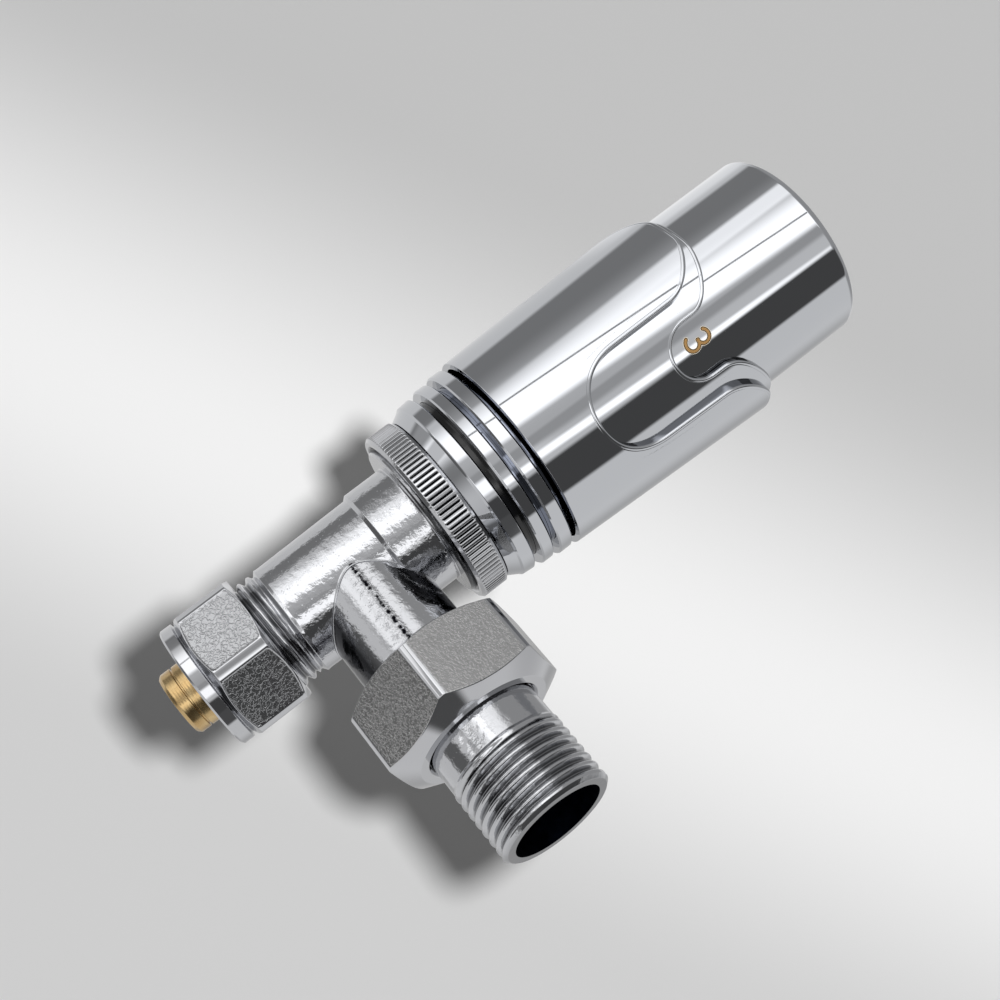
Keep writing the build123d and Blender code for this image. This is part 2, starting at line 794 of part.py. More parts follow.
# Snap ring in the core's neck, under the coupling ring's lip
snap_top_z = ring_lip_z - seat_gap
snap_groove_r = head_thread_r - snap_ring_width - seat_gap
with BuildPart() as snap_ring:
    revolve(
        turned(
            (snap_groove_r + press_gap, snap_top_z - snap_ring_h),
            (head_thread_r - press_gap, snap_top_z - snap_ring_h),
            (head_thread_r - press_gap, snap_top_z),
            (snap_groove_r + press_gap, snap_top_z),
        ),
        head_axis,
    )
    with Locations((-head_thread_r, 0, snap_top_z)):
        Box(head_thread_r, snap_ring_slit, 3 * snap_ring_h, mode=Mode.SUBTRACT)
snap_ring.part.label = "snap_ring"
export_step(snap_ring.part, "parts/snap_ring.step")

# Head core: black moulding that sits on the body, with the slotted guide tube for the sensor
with BuildPart() as head_core:
    revolve(
        turned(
            (core_bore_r, core_foot_z),
            (core_neck_r, core_foot_z),
            (core_neck_r, snap_top_z - snap_ring_h - seat_gap),
            (snap_groove_r, snap_top_z - snap_ring_h - seat_gap),
            (snap_groove_r, snap_top_z + seat_gap),
            (core_neck_r, snap_top_z + seat_gap),
            (core_neck_r, core_step_z),
            (core_r, core_step_z),
            (core_r, core_top_z),
            (guide_r, core_top_z),
            (guide_r, guide_top_z),
            (guide_bore_r, guide_top_z),
            (guide_bore_r, core_web_z + core_web_h),
            (pin_r + running_gap, core_web_z + core_web_h),
            (pin_r + running_gap, core_web_z),
            (core_bore_r, core_web_z),
        ),
        head_axis,
    )
    with BuildSketch(Plane.XY.offset(slot_z)):
        with PolarLocations(guide_r - guide_wall / 2, key_count):
            Rectangle(2 * guide_wall, slot_width)
    extrude(amount=slot_top_z - slot_z, mode=Mode.SUBTRACT)
head_core.part.label = "head_core"
export_step(head_core.part, "parts/head_core.step")

# Base cup: chromed cone and band round the core's foot
with BuildPart() as base_cup:
    revolve(
        turned(
            (cup_cavity_r, cup_z),
            (cup_foot_r, cup_z),
            (cup_knee_r, cup_knee_z),
            (cup_band_r, cup_knee_z + trim_edge),
            (cup_top_r, cup_top_z - trim_edge),
            (cup_top_r - trim_edge, cup_top_z),
            (core_r + press_gap, cup_top_z),
            (core_r + press_gap, core_step_z - seat_gap),
            (cup_cavity_r, core_step_z - seat_gap),
        ),
        head_axis,
    )
base_cup.part.label = "base_cup"
export_step(base_cup.part, "parts/base_cup.step")


def trim_profile(outer_r, low_z, high_z):
    """Section of a chromed trim ring with bevelled outer edges."""
    return turned(
        (core_r + press_gap, low_z),
        (outer_r - trim_edge, low_z),
        (outer_r, low_z + trim_edge),
        (outer_r, high_z - trim_edge),
        (outer_r - trim_edge, high_z),
        (core_r + press_gap, high_z),
    )


with BuildPart() as lower_trim_ring:
    revolve(trim_profile(lower_trim_r, lower_trim_z, lower_trim_top_z), head_axis)
lower_trim_ring.part.label = "lower_trim_ring"
export_step(lower_trim_ring.part, "parts/lower_trim_ring.step")

with BuildPart() as upper_trim_ring:
    revolve(trim_profile(upper_trim_r, upper_trim_z, upper_trim_top_z), head_axis)
upper_trim_ring.part.label = "upper_trim_ring"
export_step(upper_trim_ring.part, "parts/upper_trim_ring.step")


def liner_r_at(z):
    """Outer radius of the inner sleeve at a height."""
    return liner_foot_r + (liner_top_r - liner_foot_r) * (z - sleeve_z) / (liner_top_z - sleeve_z)


lobe_angles = [recess_angle + 360 / lobe_count * k for k in range(lobe_count)]
recess_shape = (
    recess_half_angle,
    recess_floor_z,
    recess_round_h,
    lobe_shoulder_z,
    lobe_round_h,
    lobe_flat_angle,
    dial_top_z,
)
notch_shape = (
    notch_half_angle,
    notch_floor_z,
    notch_round_h,
    notch_shoulder_z,
    notch_flare_h,
    notch_flat_angle,
    dial_top_z,
)

# Outer sleeve of the grip, a light cone cut back between three lobes
with BuildPart() as grip_shell:
    revolve(
        turned(
            (liner_foot_r + press_gap, sleeve_z),
            (shell_foot_r - trim_edge, sleeve_z),
            (shell_foot_r, sleeve_z + trim_edge),
            (shell_top_r, lobe_top_z),
            (liner_r_at(lobe_top_z) + press_gap, lobe_top_z),
        ),
        head_axis,
    )
    for angle in lobe_angles:
        add(window(liner_foot_r, shell_top_r, angle, *recess_shape), mode=Mode.SUBTRACT)
grip_shell.part.label = "grip_shell"
export_step(grip_shell.part, "parts/grip_shell.step")

# Inner sleeve of the grip, with the screw that lifts the sensor and three notches over the dial
with BuildPart() as grip_liner:
    revolve(
        turned(
            (guide_r + free_gap, sleeve_z),
            (liner_foot_r, sleeve_z),
            (liner_top_r, liner_top_z),
            (liner_bore_r, liner_top_z),
            (liner_bore_r, liner_ledge_z),
            (screw_r, liner_ledge_z),
            (screw_r, sleeve_z + liner_lip_h),
            (guide_r + free_gap, sleeve_z + liner_lip_h),
        ),
        head_axis,
    )
    for angle in lobe_angles:
        add(window(dial_r, liner_top_r, angle, *notch_shape), mode=Mode.SUBTRACT)
grip_liner.part.label = "grip_liner"
export_step(grip_liner.part, "parts/grip_liner.step")

# Dial cap: drum with a rounded end, fixed on the guide tube, so that the notches turn over its numbers
dial_foot_z = liner_ledge_z + free_gap
with BuildPart() as dial_cap:
    with BuildSketch(Plane.XZ):
        with BuildLine():
            Polyline(
                (dial_r - dial_round, dial_top_z),
                (0, dial_top_z),
                (0, dial_top_z - dial_wall),
                (guide_r + press_gap, dial_top_z - dial_wall),
                (guide_r + press_gap, dial_boss_z),
                (guide_r + press_gap + dial_boss_wall, dial_boss_z),
                (guide_r + press_gap + dial_boss_wall, dial_boss_top_z),
                (dial_r - dial_wall, dial_boss_top_z),
                (dial_r - dial_wall, dial_foot_z),
                (dial_r, dial_foot_z),
                (dial_r, dial_top_z - dial_round),
            )
            CenterArc((dial_r - dial_round, dial_top_z - dial_round), dial_round, 0, 90)
        make_face()
    revolve(axis=head_axis)
dial_cap.part.label = "dial_cap"
export_step(dial_cap.part, "parts/dial_cap.step")

# Sensor carrier: threaded ring outside the guide tube, three keys through its slots, cup inside it
with BuildPart() as sensor_carrier:
    revolve(
        turned(
            (carrier_ring_r, carrier_z),
            (screw_r - running_gap, carrier_z),
            (screw_r - running_gap, carrier_z + carrier_ring_h),
            (carrier_ring_r, carrier_z + carrier_ring_h),
        ),
        head_axis,
    )
    revolve(
        turned(
            (capsule_nose_r + free_gap, carrier_z - carrier_floor_h),
            (carrier_tube_r, carrier_z - carrier_floor_h),
            (carrier_tube_r, carrier_top_z),
            (carrier_bore_r, carrier_top_z),
            (carrier_bore_r, carrier_z),
            (capsule_nose_r + free_gap, carrier_z),
        ),
        head_axis,
    )
    with BuildSketch(Plane.XY.offset(key_z)):
        with PolarLocations((carrier_tube_r + carrier_ring_r) / 2, key_count):
            Rectangle(carrier_ring_r - carrier_tube_r + 1, key_width)
    extrude(amount=key_h)
sensor_carrier.part.label = "sensor_carrier"
export_step(sensor_carrier.part, "parts/sensor_carrier.step")

# Sensor capsule: closed can with a rolled groove and a nose that takes the actuator pin's piston
with BuildPart() as sensor_capsule:
    revolve(
        turned(
            (piston_r + running_gap, capsule_z - capsule_nose_h),
            (capsule_nose_r, capsule_z - capsule_nose_h),
            (capsule_nose_r, capsule_z),
            (capsule_r, capsule_z),
            (capsule_r, capsule_z + capsule_groove_z),
            (capsule_r - 1, capsule_z + capsule_groove_z + 1),
            (capsule_r, capsule_z + capsule_groove_z + 2),
            (capsule_r, capsule_top_z),
            (0, capsule_top_z),
            (0, capsule_z + piston_h),
            (piston_r + running_gap, capsule_z + piston_h),
        ),
        head_axis,
    )
sensor_capsule.part.label = "sensor_capsule"
export_step(sensor_capsule.part, "parts/sensor_capsule.step")

# Actuator pin: presses on the stem, its piston is driven by the capsule
with BuildPart() as actuator_pin:
    revolve(
        turned(
            (0, stem_tip_z),
            (pin_r, stem_tip_z),
            (pin_r, pin_top_z - pin_foot_h),
            (pin_foot_r, pin_top_z - pin_foot_h),
            (pin_foot_r, pin_top_z),
            (piston_r, pin_top_z),
            (piston_r, pin_top_z + piston_h),
            (0, pin_top_z + piston_h),
        ),
        head_axis,
    )
actuator_pin.part.label = "actuator_pin"
export_step(actuator_pin.part, "parts/actuator_pin.step")

over_coil_r = capsule_r - 2 * over_spring_wire_r
with BuildPart() as over_travel_spring:
    add(coil(over_coil_r, over_spring_wire_r, capsule_top_z + seat_gap, retainer_z - seat_gap, over_spring_turns))
over_travel_spring.part.label = "over_travel_spring"
export_step(over_travel_spring.part, "parts/over_travel_spring.step")

with BuildPart() as spring_retainer:
    revolve(
        turned(
            (stem_r, retainer_z),
            (carrier_bore_r - press_gap, retainer_z),
            (carrier_bore_r - press_gap, carrier_top_z),
            (stem_r, carrier_top_z),
        ),
        head_axis,
    )
spring_retainer.part.label = "spring_retainer"
export_step(spring_retainer.part, "parts/spring_retainer.step")
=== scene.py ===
"""Looks of an angle radiator valve with a regulating head: chrome plate, turned brass and satin nut faces."""

import json
from math import atan, atan2, ceil, cos, pi, radians, sin, sqrt, tan

import bpy
import numpy as np
from mathutils import Matrix, Vector

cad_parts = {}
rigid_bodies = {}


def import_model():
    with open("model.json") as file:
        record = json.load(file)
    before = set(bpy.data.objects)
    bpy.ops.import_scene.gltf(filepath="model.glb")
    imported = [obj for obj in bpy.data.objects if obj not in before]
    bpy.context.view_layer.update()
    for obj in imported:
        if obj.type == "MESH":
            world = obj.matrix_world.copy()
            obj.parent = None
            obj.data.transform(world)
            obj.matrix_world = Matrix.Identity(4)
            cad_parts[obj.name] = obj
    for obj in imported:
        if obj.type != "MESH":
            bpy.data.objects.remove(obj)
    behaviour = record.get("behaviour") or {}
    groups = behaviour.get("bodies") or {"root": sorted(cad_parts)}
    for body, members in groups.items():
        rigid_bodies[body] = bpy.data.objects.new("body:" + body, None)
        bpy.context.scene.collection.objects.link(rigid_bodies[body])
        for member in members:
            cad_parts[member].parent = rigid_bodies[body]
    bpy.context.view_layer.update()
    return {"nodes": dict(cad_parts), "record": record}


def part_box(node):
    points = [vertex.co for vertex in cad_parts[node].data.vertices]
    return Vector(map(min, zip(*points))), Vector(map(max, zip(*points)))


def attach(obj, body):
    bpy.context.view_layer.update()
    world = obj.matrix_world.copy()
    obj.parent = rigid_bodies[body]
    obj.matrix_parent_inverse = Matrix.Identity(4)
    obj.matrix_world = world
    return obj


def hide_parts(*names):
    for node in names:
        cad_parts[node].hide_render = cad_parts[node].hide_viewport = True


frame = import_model()
body_of = {n: b for b, nodes in frame["record"]["behaviour"]["bodies"].items() for n in nodes}

# Meshes are worked out in millimetres and written in metres
MM = 0.001
ROUND = 288  # columns round a turned piece
ARC_STEP = radians(19)  # longest turn between two points of a rounded corner


def levels(node):
    """Lowest and highest point of a node along the spindle, and its outer radius, in millimetres."""
    low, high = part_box(node)
    return low.z / MM, high.z / MM, (high.y - low.y) / 2 / MM


def reach(node):
    """First and last point of a node along the radiator tail, and its outer radius, in millimetres."""
    low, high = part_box(node)
    return low.x / MM, high.x / MM, (high.y - low.y) / 2 / MM


TAIL_HEIGHT = (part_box("tail_pipe")[0].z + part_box("tail_pipe")[1].z) / 2 / MM
NOZZLE_FOOT, NOZZLE_TOP, NOZZLE_FLANGE_R = levels("pipe_nozzle")
NUT_FOOT, NUT_TOP = levels("compression_nut")[:2]
BODY_FOOT, BODY_TOP, HEAD_THREAD_R = levels("valve_body")
RING_FOOT, RING_TOP, RING_R = levels("coupling_ring")
CUP_FOOT, CUP_TOP, CUP_R = levels("base_cup")
LOWER_TRIM_FOOT, LOWER_TRIM_TOP, LOWER_TRIM_R = levels("lower_trim_ring")
UPPER_TRIM_FOOT, UPPER_TRIM_TOP, UPPER_TRIM_R = levels("upper_trim_ring")
CORE_FOOT, CORE_TOP, CORE_R = levels("head_core")
ON_CORE_R = CORE_R + 0.04  # bore of what is pressed or glued on the core
GRIP_FOOT, LINER_TOP = levels("grip_liner")[:2]
LOBE_TOP = levels("grip_shell")[1]
DIAL_FOOT, DIAL_TOP, DIAL_R = levels("dial_cap")
UNION_START, UNION_END = reach("union_nut")[:2]
TAIL_START, TAIL_END, TAIL_FLANGE_R = reach("tail_pipe")
BRANCH_FACE = reach("valve_body")[1]

# Sizes that the boxes don't give, in millimetres and degrees
PIPE_THREAD_R = 20.955 / 2
PIPE_THREAD_PITCH = 1.814
PIPE_THREAD_DEPTH = 0.95
UNION_THREAD_R = 13.22
EDGE = 0.12  # broken edge of a machined or moulded piece
SHELL_FOOT_R, SHELL_TOP_R = 19.6, 21.25
LINER_FOOT_R, LINER_TOP_R = 18.6, 19.8
LINER_BORE_R = 18.45
LOBES = 3
RECESS_ANGLE = -46.0
# Windows of the two sleeves: half and flat are the angles from the middle to the straight side and to the end
# of the flare at the top, floor and shoulder are heights, and round is the height of the floor's rounding
RECESS = {"half": 26.7, "floor": 83.5, "round": 9.4, "shoulder": 105.1, "flat": 52.4}
NOTCH = {"half": 15.5, "floor": 100.2, "round": 5.2, "shoulder": 107.5, "flat": 50.0}
RIBS = 108
DIGIT_ANGLE = -49.4  # middle of the 3
DIGIT_PITCH = 48.0
DIGIT_FOOT = 103.4
DIGIT_HEIGHT = 5.1


# Meshes

def in_scene(name, data):
    """A new object that is linked to the scene."""
    made = bpy.data.objects.new(name, data)
    bpy.context.scene.collection.objects.link(made)
    return made


def skin(name, points, normals, around=True):
    """One smooth mesh from a grid of points, row by row, with its true normals. Columns close round."""
    points, normals = np.array(points), np.array(normals)
    rows, columns = points.shape[:2]
    i, j = np.meshgrid(np.arange(rows - 1), np.arange(columns if around else columns - 1), indexing="ij")
    k = (j + 1) % columns
    corners = np.stack([i * columns + j, i * columns + k, (i + 1) * columns + k, (i + 1) * columns + j], -1)
    mesh = bpy.data.meshes.new(name)
    mesh.from_pydata((points.reshape(-1, 3) * MM).tolist(), [], corners.reshape(-1, 4).tolist())
    mesh.shade_smooth()
    normals = normals / np.linalg.norm(normals, axis=-1, keepdims=True)
    mesh.normals_split_custom_set_from_vertices(normals.reshape(-1, 3).tolist())
    return in_scene(name, mesh)


def joined(name, pieces):
    """Several meshes as one object, with their materials and normals."""
    bpy.ops.object.select_all(action="DESELECT")
    for piece in pieces:
        piece.select_set(True)
    bpy.context.view_layer.objects.active = pieces[0]
    bpy.ops.object.join()
    pieces[0].name = name
    pieces[0].data.name = name
    return pieces[0]


def rounded(corners, closed=True):
    """Points and outward normals of a profile whose corners are radius, height and, if not EDGE, rounding."""
    places = [np.array(c[:2], float) for c in corners]
    count = len(corners)
    points, normals = [], []
    for n in range(count):
        if not closed and n in (0, count - 1):
            a, b = (places[0], places[1]) if n == 0 else (places[-2], places[-1])
            run = (b - a) / np.linalg.norm(b - a)
            points.append(places[n])
            normals.append((run[1], -run[0]))
            continue
        back, on = places[n] - places[n - 1], places[(n + 1) % count] - places[n]
        room = 0.49 * min(np.linalg.norm(back), np.linalg.norm(on))
        back, on = back / np.linalg.norm(back), on / np.linalg.norm(on)
        turn = atan2(back[0] * on[1] - back[1] * on[0], back @ on)
        if abs(turn) < 1e-3:
            points.append(places[n])
            normals.append((on[1], -on[0]))
            continue
        rounding = corners[n][2] if len(corners[n]) > 2 else EDGE
        size = min(rounding, room / tan(abs(turn) / 2))
        side = 1 if turn > 0 else -1
        start = places[n] - back * size * tan(abs(turn) / 2)
        centre = start + side * size * np.array((-back[1], back[0]))
        pieces = max(2, ceil(abs(turn) / ARC_STEP))
        for piece in range(pieces + 1):
            u = turn * piece / pieces
            run = np.array((back[0] * cos(u) - back[1] * sin(u), back[0] * sin(u) + back[1] * cos(u)))
            points.append(centre - side * size * np.array((-run[1], run[0])))
            normals.append((run[1], -run[0]))
    if closed:
        points.append(points[0])
        normals.append(normals[0])
    return np.array(points), np.array(normals)


def placed(radius, angle, along, on_tail=False):
    """Points or directions from cylinder coordinates, about the spindle or about the radiator tail."""
    radius, angle, along = np.broadcast_arrays(radius, angle, along)
    first, second = radius * np.cos(angle), radius * np.sin(angle)
    return np.stack([along, first, second] if on_tail else [first, second, along], -1)


def turned(name, corners, on_tail=False, closed=True, shape=None, columns=ROUND):
    """Turned skin. shape changes the radius: it gets radius, angle and place along the axis, and gives the
    new radius with its slopes by old radius, by angle and by place."""
    profile, outward = rounded(corners, closed)
    angle = np.linspace(0, 2 * pi, columns, endpoint=False)
    angle, radius, along = np.broadcast_arrays(angle, profile[:, :1], profile[:, 1:])
    out_r, out_a, out_t = outward[:, :1], outward[:, 1:], 0 * radius
    if shape:
        radius, by_radius, by_angle, by_place = shape(radius, angle, along)
        out_t = -by_angle / radius * out_r
        out_a = out_a * by_radius - by_place * out_r
    points = placed(radius, angle, along, on_tail)
    if on_tail:
        points[..., 2] += TAIL_HEIGHT
    normals = placed(out_r, angle, out_a, on_tail) + placed(out_t, angle + pi / 2, 0, on_tail)
    return skin(name, points, normals)


def mark(piece, attribute, values):
    """Writes one number a vertex, for the piece's material."""
    layer = piece.data.attributes.new(attribute, "FLOAT", "POINT")
    layer.data.foreach_set("value", np.asarray(values, np.float32).ravel())


def vertices(piece):
    """The three coordinates of a piece's vertices, in millimetres."""
    places = np.empty(len(piece.data.vertices) * 3)
    piece.data.vertices.foreach_get("co", places)
    return places.reshape(-1, 3).T / MM


def wear(piece, node, *finishes):
    """Gives a piece its materials and the body of the node that it stands for, and hides that node."""
    for material in finishes:
        piece.data.materials.append(material)
    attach(piece, body_of[node])
    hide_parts(node)
    return piece


# Materials

def linear(code):
    """Linear colour, with alpha, from an sRGB hex code."""
    parts = [int(code[n:n + 2], 16) / 255 for n in (1, 3, 5)]
    return [c / 12.92 if c <= 0.04045 else ((c + 0.055) / 1.055) ** 2.4 for c in parts] + [1.0]


def wire(tree, node, inputs):
    """Sets or links a node's inputs. A node that is given as an input stands for its first output in use."""
    for socket, value in inputs.items():
        if isinstance(value, bpy.types.Node):
            value = next(output for output in value.outputs if output.enabled)
        if isinstance(value, bpy.types.NodeSocket):
            tree.links.new(value, node.inputs[socket])
        else:
            node.inputs[socket].default_value = value


def add(tree, kind, inputs=None, **settings):
    """Adds a node with its settings, and sets or links its inputs."""
    made = tree.nodes.new("ShaderNode" + kind)
    for name, value in settings.items():
        setattr(made, name, value)
    wire(tree, made, inputs or {})
    return made


def per_mm(size):
    """Texture scale for features of a size in millimetres, on coordinates in metres."""
    return 1 / (size * MM)


def finish(name, colour, metallic, roughness, **sockets):
    """A material with its shader, and the place on the piece that its patterns read."""
    material = bpy.data.materials.new(name)
    material.use_nodes = True
    tree = material.node_tree
    tree.nodes.clear()
    shader = add(tree, "BsdfPrincipled", {"Base Color": linear(colour), "Metallic": metallic,
                                          "Roughness": roughness, **sockets})
    add(tree, "OutputMaterial", {"Surface": shader})
    place = add(tree, "TexCoord").outputs["Object"]
    return material, tree, shader, place


def smeared(tree, place, size, low, high):
    """Roughness that drifts between two values over patches of a size in millimetres."""
    patches = add(tree, "TexNoise", {"Vector": place, "Scale": per_mm(size), "Detail": 4.0})
    return add(tree, "MapRange", {"Value": patches, "From Min": 0.3, "From Max": 0.7, "To Min": low,
                                  "To Max": high})


def stained(tree, place, size, detail, one, other):
    """Colour that drifts between two hex codes over patches of a size in millimetres."""
    patches = add(tree, "TexNoise", {"Vector": place, "Scale": per_mm(size), "Detail": detail})
    return add(tree, "Mix", {"Factor": patches, "A": linear(one), "B": linear(other)}, data_type="RGBA")


def grained(tree, place, size, detail, strength, depth):
    """Normal of a skin whose grain has a size and a depth in millimetres."""
    grain = add(tree, "TexNoise", {"Vector": place, "Scale": per_mm(size), "Detail": detail})
    return add(tree, "Bump", {"Height": grain, "Strength": strength, "Distance": depth * MM})


CHROME = "#C2C3C6"
PAINTED_SHADE_AND_PIT_CHROME = "#0B0D12"  # painted shade in grooves, thread valleys and on shaded flanks, and the dark of a die seam's pits


def chrome_on_plastic(name, colour):
    """Bright chrome plate on polished ABS: a clean mirror with the faint long waves of the moulding."""
    material, tree, shader, place = finish(name, colour, 1.0, 0.03)
    wire(tree, shader, {"Roughness": smeared(tree, place, 9, 0.02, 0.045),
                        "Normal": grained(tree, place, 14, 1.0, 0.25, 0.04)})
    return material


def chrome_on_brass(name, peel, pits=0.0, shaded=False, seam=0.0):
    """Chrome plate on brass: a mirror with the orange peel and pits of the metal below, given by their depth.
    Where the attribute deep is high the plate is darkened as painted shade, and a die seam is torn, pitted
    and dark."""
    material, tree, shader, place = finish(name, CHROME, 1.0, 0.07)
    relief = grained(tree, place, 1.3, 3.0, 1.0, peel)
    grain = add(tree, "TexNoise", {"Vector": place, "Scale": per_mm(0.35), "Detail": 2.0})
    relief = add(tree, "Bump", {"Height": grain, "Strength": 0.6, "Distance": 0.2 * peel * MM,
                                "Normal": relief})
    # The attribute deep says where painted shade darkens the plate
    dark = add(tree, "Attribute", attribute_name="deep").outputs["Fac"] if shaded else None
    if pits:
        cells = add(tree, "TexVoronoi", {"Vector": place, "Scale": per_mm(0.9), "Randomness": 1.0})
        dents = add(tree, "MapRange", {"Value": cells, "From Max": 0.16}, interpolation_type="SMOOTHSTEP")
        relief = add(tree, "Bump", {"Height": dents, "Strength": 0.7, "Distance": pits * MM,
                                    "Normal": relief})
    if seam:
        line = add(tree, "Attribute", attribute_name="seam").outputs["Fac"]
        torn = add(tree, "TexNoise", {"Vector": place, "Scale": per_mm(0.55), "Detail": 3.0})
        ridges = add(tree, "Math", {0: torn, 1: line}, operation="MULTIPLY")
        relief = add(tree, "Bump", {"Height": ridges, "Strength": 1.0, "Distance": seam * MM,
                                    "Normal": relief})
        pitted = add(tree, "MapRange", {"Value": ridges, "From Min": 0.36, "From Max": 0.52})
        dark = add(tree, "Math", {0: dark, 1: pitted}, operation="MAXIMUM")
    if dark:
        plate = add(tree, "Mix", {"Factor": dark, "A": linear(CHROME), "B": linear(PAINTED_SHADE_AND_PIT_CHROME)},
                    data_type="RGBA")
        wire(tree, shader, {"Base Color": plate})
    wire(tree, shader, {"Roughness": smeared(tree, place, 3, 0.04, 0.11), "Normal": relief})
    return material


def chrome_on_nut(name, crinkle, depth, satin, pad_colour):
    """Chrome-plated nut: turned edges are mirrors, the flats keep the forging's crinkled satin skin."""
    material, tree, shader, place = finish(name, CHROME, 1.0, 0.06)
    pad = add(tree, "Attribute", attribute_name="pad").outputs["Fac"]
    plate = add(tree, "Mix", {"Factor": pad, "A": linear(CHROME), "B": linear(pad_colour)}, data_type="RGBA")
    folds = add(tree, "TexNoise", {"Vector": place, "Scale": per_mm(crinkle), "Detail": 1.5,
                                   "Distortion": 0.6})
    from_fold = add(tree, "Math", {0: folds, 1: 0.5}, operation="SUBTRACT")
    from_fold = add(tree, "Math", {0: from_fold}, operation="ABSOLUTE")
    worms = add(tree, "MapRange", {"Value": from_fold, "From Max": 0.09}, interpolation_type="SMOOTHSTEP")
    grit = add(tree, "TexNoise", {"Vector": place, "Scale": per_mm(crinkle * 0.4), "Detail": 3.0})
    height = add(tree, "Math", {0: grit, 1: 0.5, 2: worms}, operation="MULTIPLY_ADD")
    masked = add(tree, "Math", {0: height, 1: pad}, operation="MULTIPLY")
    bump = add(tree, "Bump", {"Height": masked, "Strength": 1.0, "Distance": depth * MM})
    rough = add(tree, "MapRange", {"Value": pad, "To Min": 0.06, "To Max": satin})
    wire(tree, shader, {"Base Color": plate, "Roughness": rough, "Normal": bump})
    return material


def turned_brass():
    """Bare free-cutting brass off the lathe: warm yellow metal with tool rings and a little tarnish. The
    rings are drawn 0.25 mm apart, coarser than real ones, so that they show."""
    material, tree, shader, place = finish("turned_brass", "#DDBB80", 1.0, 0.22)
    rings = add(tree, "TexWave", {"Vector": place, "Scale": per_mm(0.25) / (2 * pi), "Distortion": 0.6,
                                  "Detail": 2.0, "Detail Scale": 2.0}, bands_direction="Z").outputs["Fac"]
    bump = add(tree, "Bump", {"Height": rings, "Strength": 0.5, "Distance": 0.012 * MM})
    wire(tree, shader, {"Base Color": stained(tree, place, 2.4, 5.0, "#E0C999", "#A27C47"),
                        "Roughness": smeared(tree, place, 1.5, 0.16, 0.3), "Normal": bump})
    return material


def moulded_plastic(name, colour, roughness):
    """Injection-moulded plastic with the spark-eroded grain of its tool, drawn 0.2 mm wide to show."""
    material, tree, shader, place = finish(name, colour, 0.0, roughness, IOR=1.5)
    wire(tree, shader, {"Roughness": smeared(tree, place, 5, roughness - 0.06, roughness + 0.08),
                        "Normal": grained(tree, place, 0.2, 2.0, 0.4, 0.01)})
    return material


def sealing_rubber():
    """Moulded EPDM: near black, dull, with a faint bloom."""
    material, tree, shader, place = finish("EPDM_rubber", "#161617", 0.0, 0.6, IOR=1.52)
    wire(tree, shader, {"Base Color": stained(tree, place, 1.2, 4.0, "#121213", "#242527"),
                        "Roughness": smeared(tree, place, 2, 0.5, 0.7)})
    return material


def drawn_steel(name, colour, roughness):
    """Drawn wire or sheet: bare metal with the marks of its die, drawn 0.4 mm wide to show."""
    material, tree, shader, place = finish(name, colour, 1.0, roughness)
    wire(tree, shader, {"Roughness": smeared(tree, place, 1, roughness - 0.06, roughness + 0.08),
                        "Normal": grained(tree, place, 0.4, 4.0, 0.4, 0.01)})
    return material


def bore_in_painted_shade():
    """Inside of the tail pipe, blue-black with a dull gleam in patches: painted shade."""
    material, tree, shader, place = finish("painted_shade_in_bore", "#0B0F1A", 1.0, 0.42)
    wire(tree, shader, {"Base Color": stained(tree, place, 1.1, 5.0, "#05070D", "#141A28"),
                        "Roughness": smeared(tree, place, 1.4, 0.32, 0.55)})
    return material


def ink_and_painted_light(name, colour, roughness):
    """Lacquer, slightly uneven: pad-printed to fill the numbers, and also the painted shadow line and painted
    highlight edge round them.
    """
    material, tree, shader, place = finish(name, colour, 0.35, roughness)
    wire(tree, shader, {"Roughness": smeared(tree, place, 0.6, roughness - 0.1, roughness + 0.12)})
    return material


SLOTS = {row["node"]: row["material_slot"] for row in frame["record"]["subparts"]}
MIRROR = chrome_on_plastic("chrome_plate_on_ABS", "#C6C8CC")
# shaded: the attribute deep darkens these plates with painted shade
FORGED = chrome_on_brass("chrome_plate_on_forged_brass", peel=0.07, pits=0.03, shaded=True, seam=0.4)
TURNED_CHROME = chrome_on_brass("chrome_plate_on_turned_brass", peel=0.02)
THREAD_CHROME = chrome_on_brass("chrome_plate_on_cut_thread", peel=0.06, pits=0.02, shaded=True)
KNURL_CHROME = chrome_on_brass("chrome_plate_on_knurling", peel=0.01, shaded=True)
# One satin finish on both nuts' pads; the compression nut's darker pad colour is painted shade
UNION_CHROME = chrome_on_nut("chrome_plate_on_union_nut", 0.5, 0.013, 0.22, "#C6C6C6")
INLET_CHROME = chrome_on_nut("chrome_plate_on_compression_nut", 0.75, 0.027, 0.17, "#A7A8AA")
BRASS = turned_brass()
BLACK = moulded_plastic("black_glass_filled_nylon", "#0A0A0B", 0.32)
GLOSS_BLACK = moulded_plastic("polished_black_nylon", "#07080B", 0.1)
# Darker copy of the chrome plate: painted shade on the notch walls
PAINTED_SHADE_NOTCH_WALL = chrome_on_plastic("chrome_darkened_as_painted_shade_in_notch_wall", "#3C3E42")
RECESS_WALL = chrome_on_plastic("shaded_chrome_plate_in_recess_wall", "#9A9CA1")
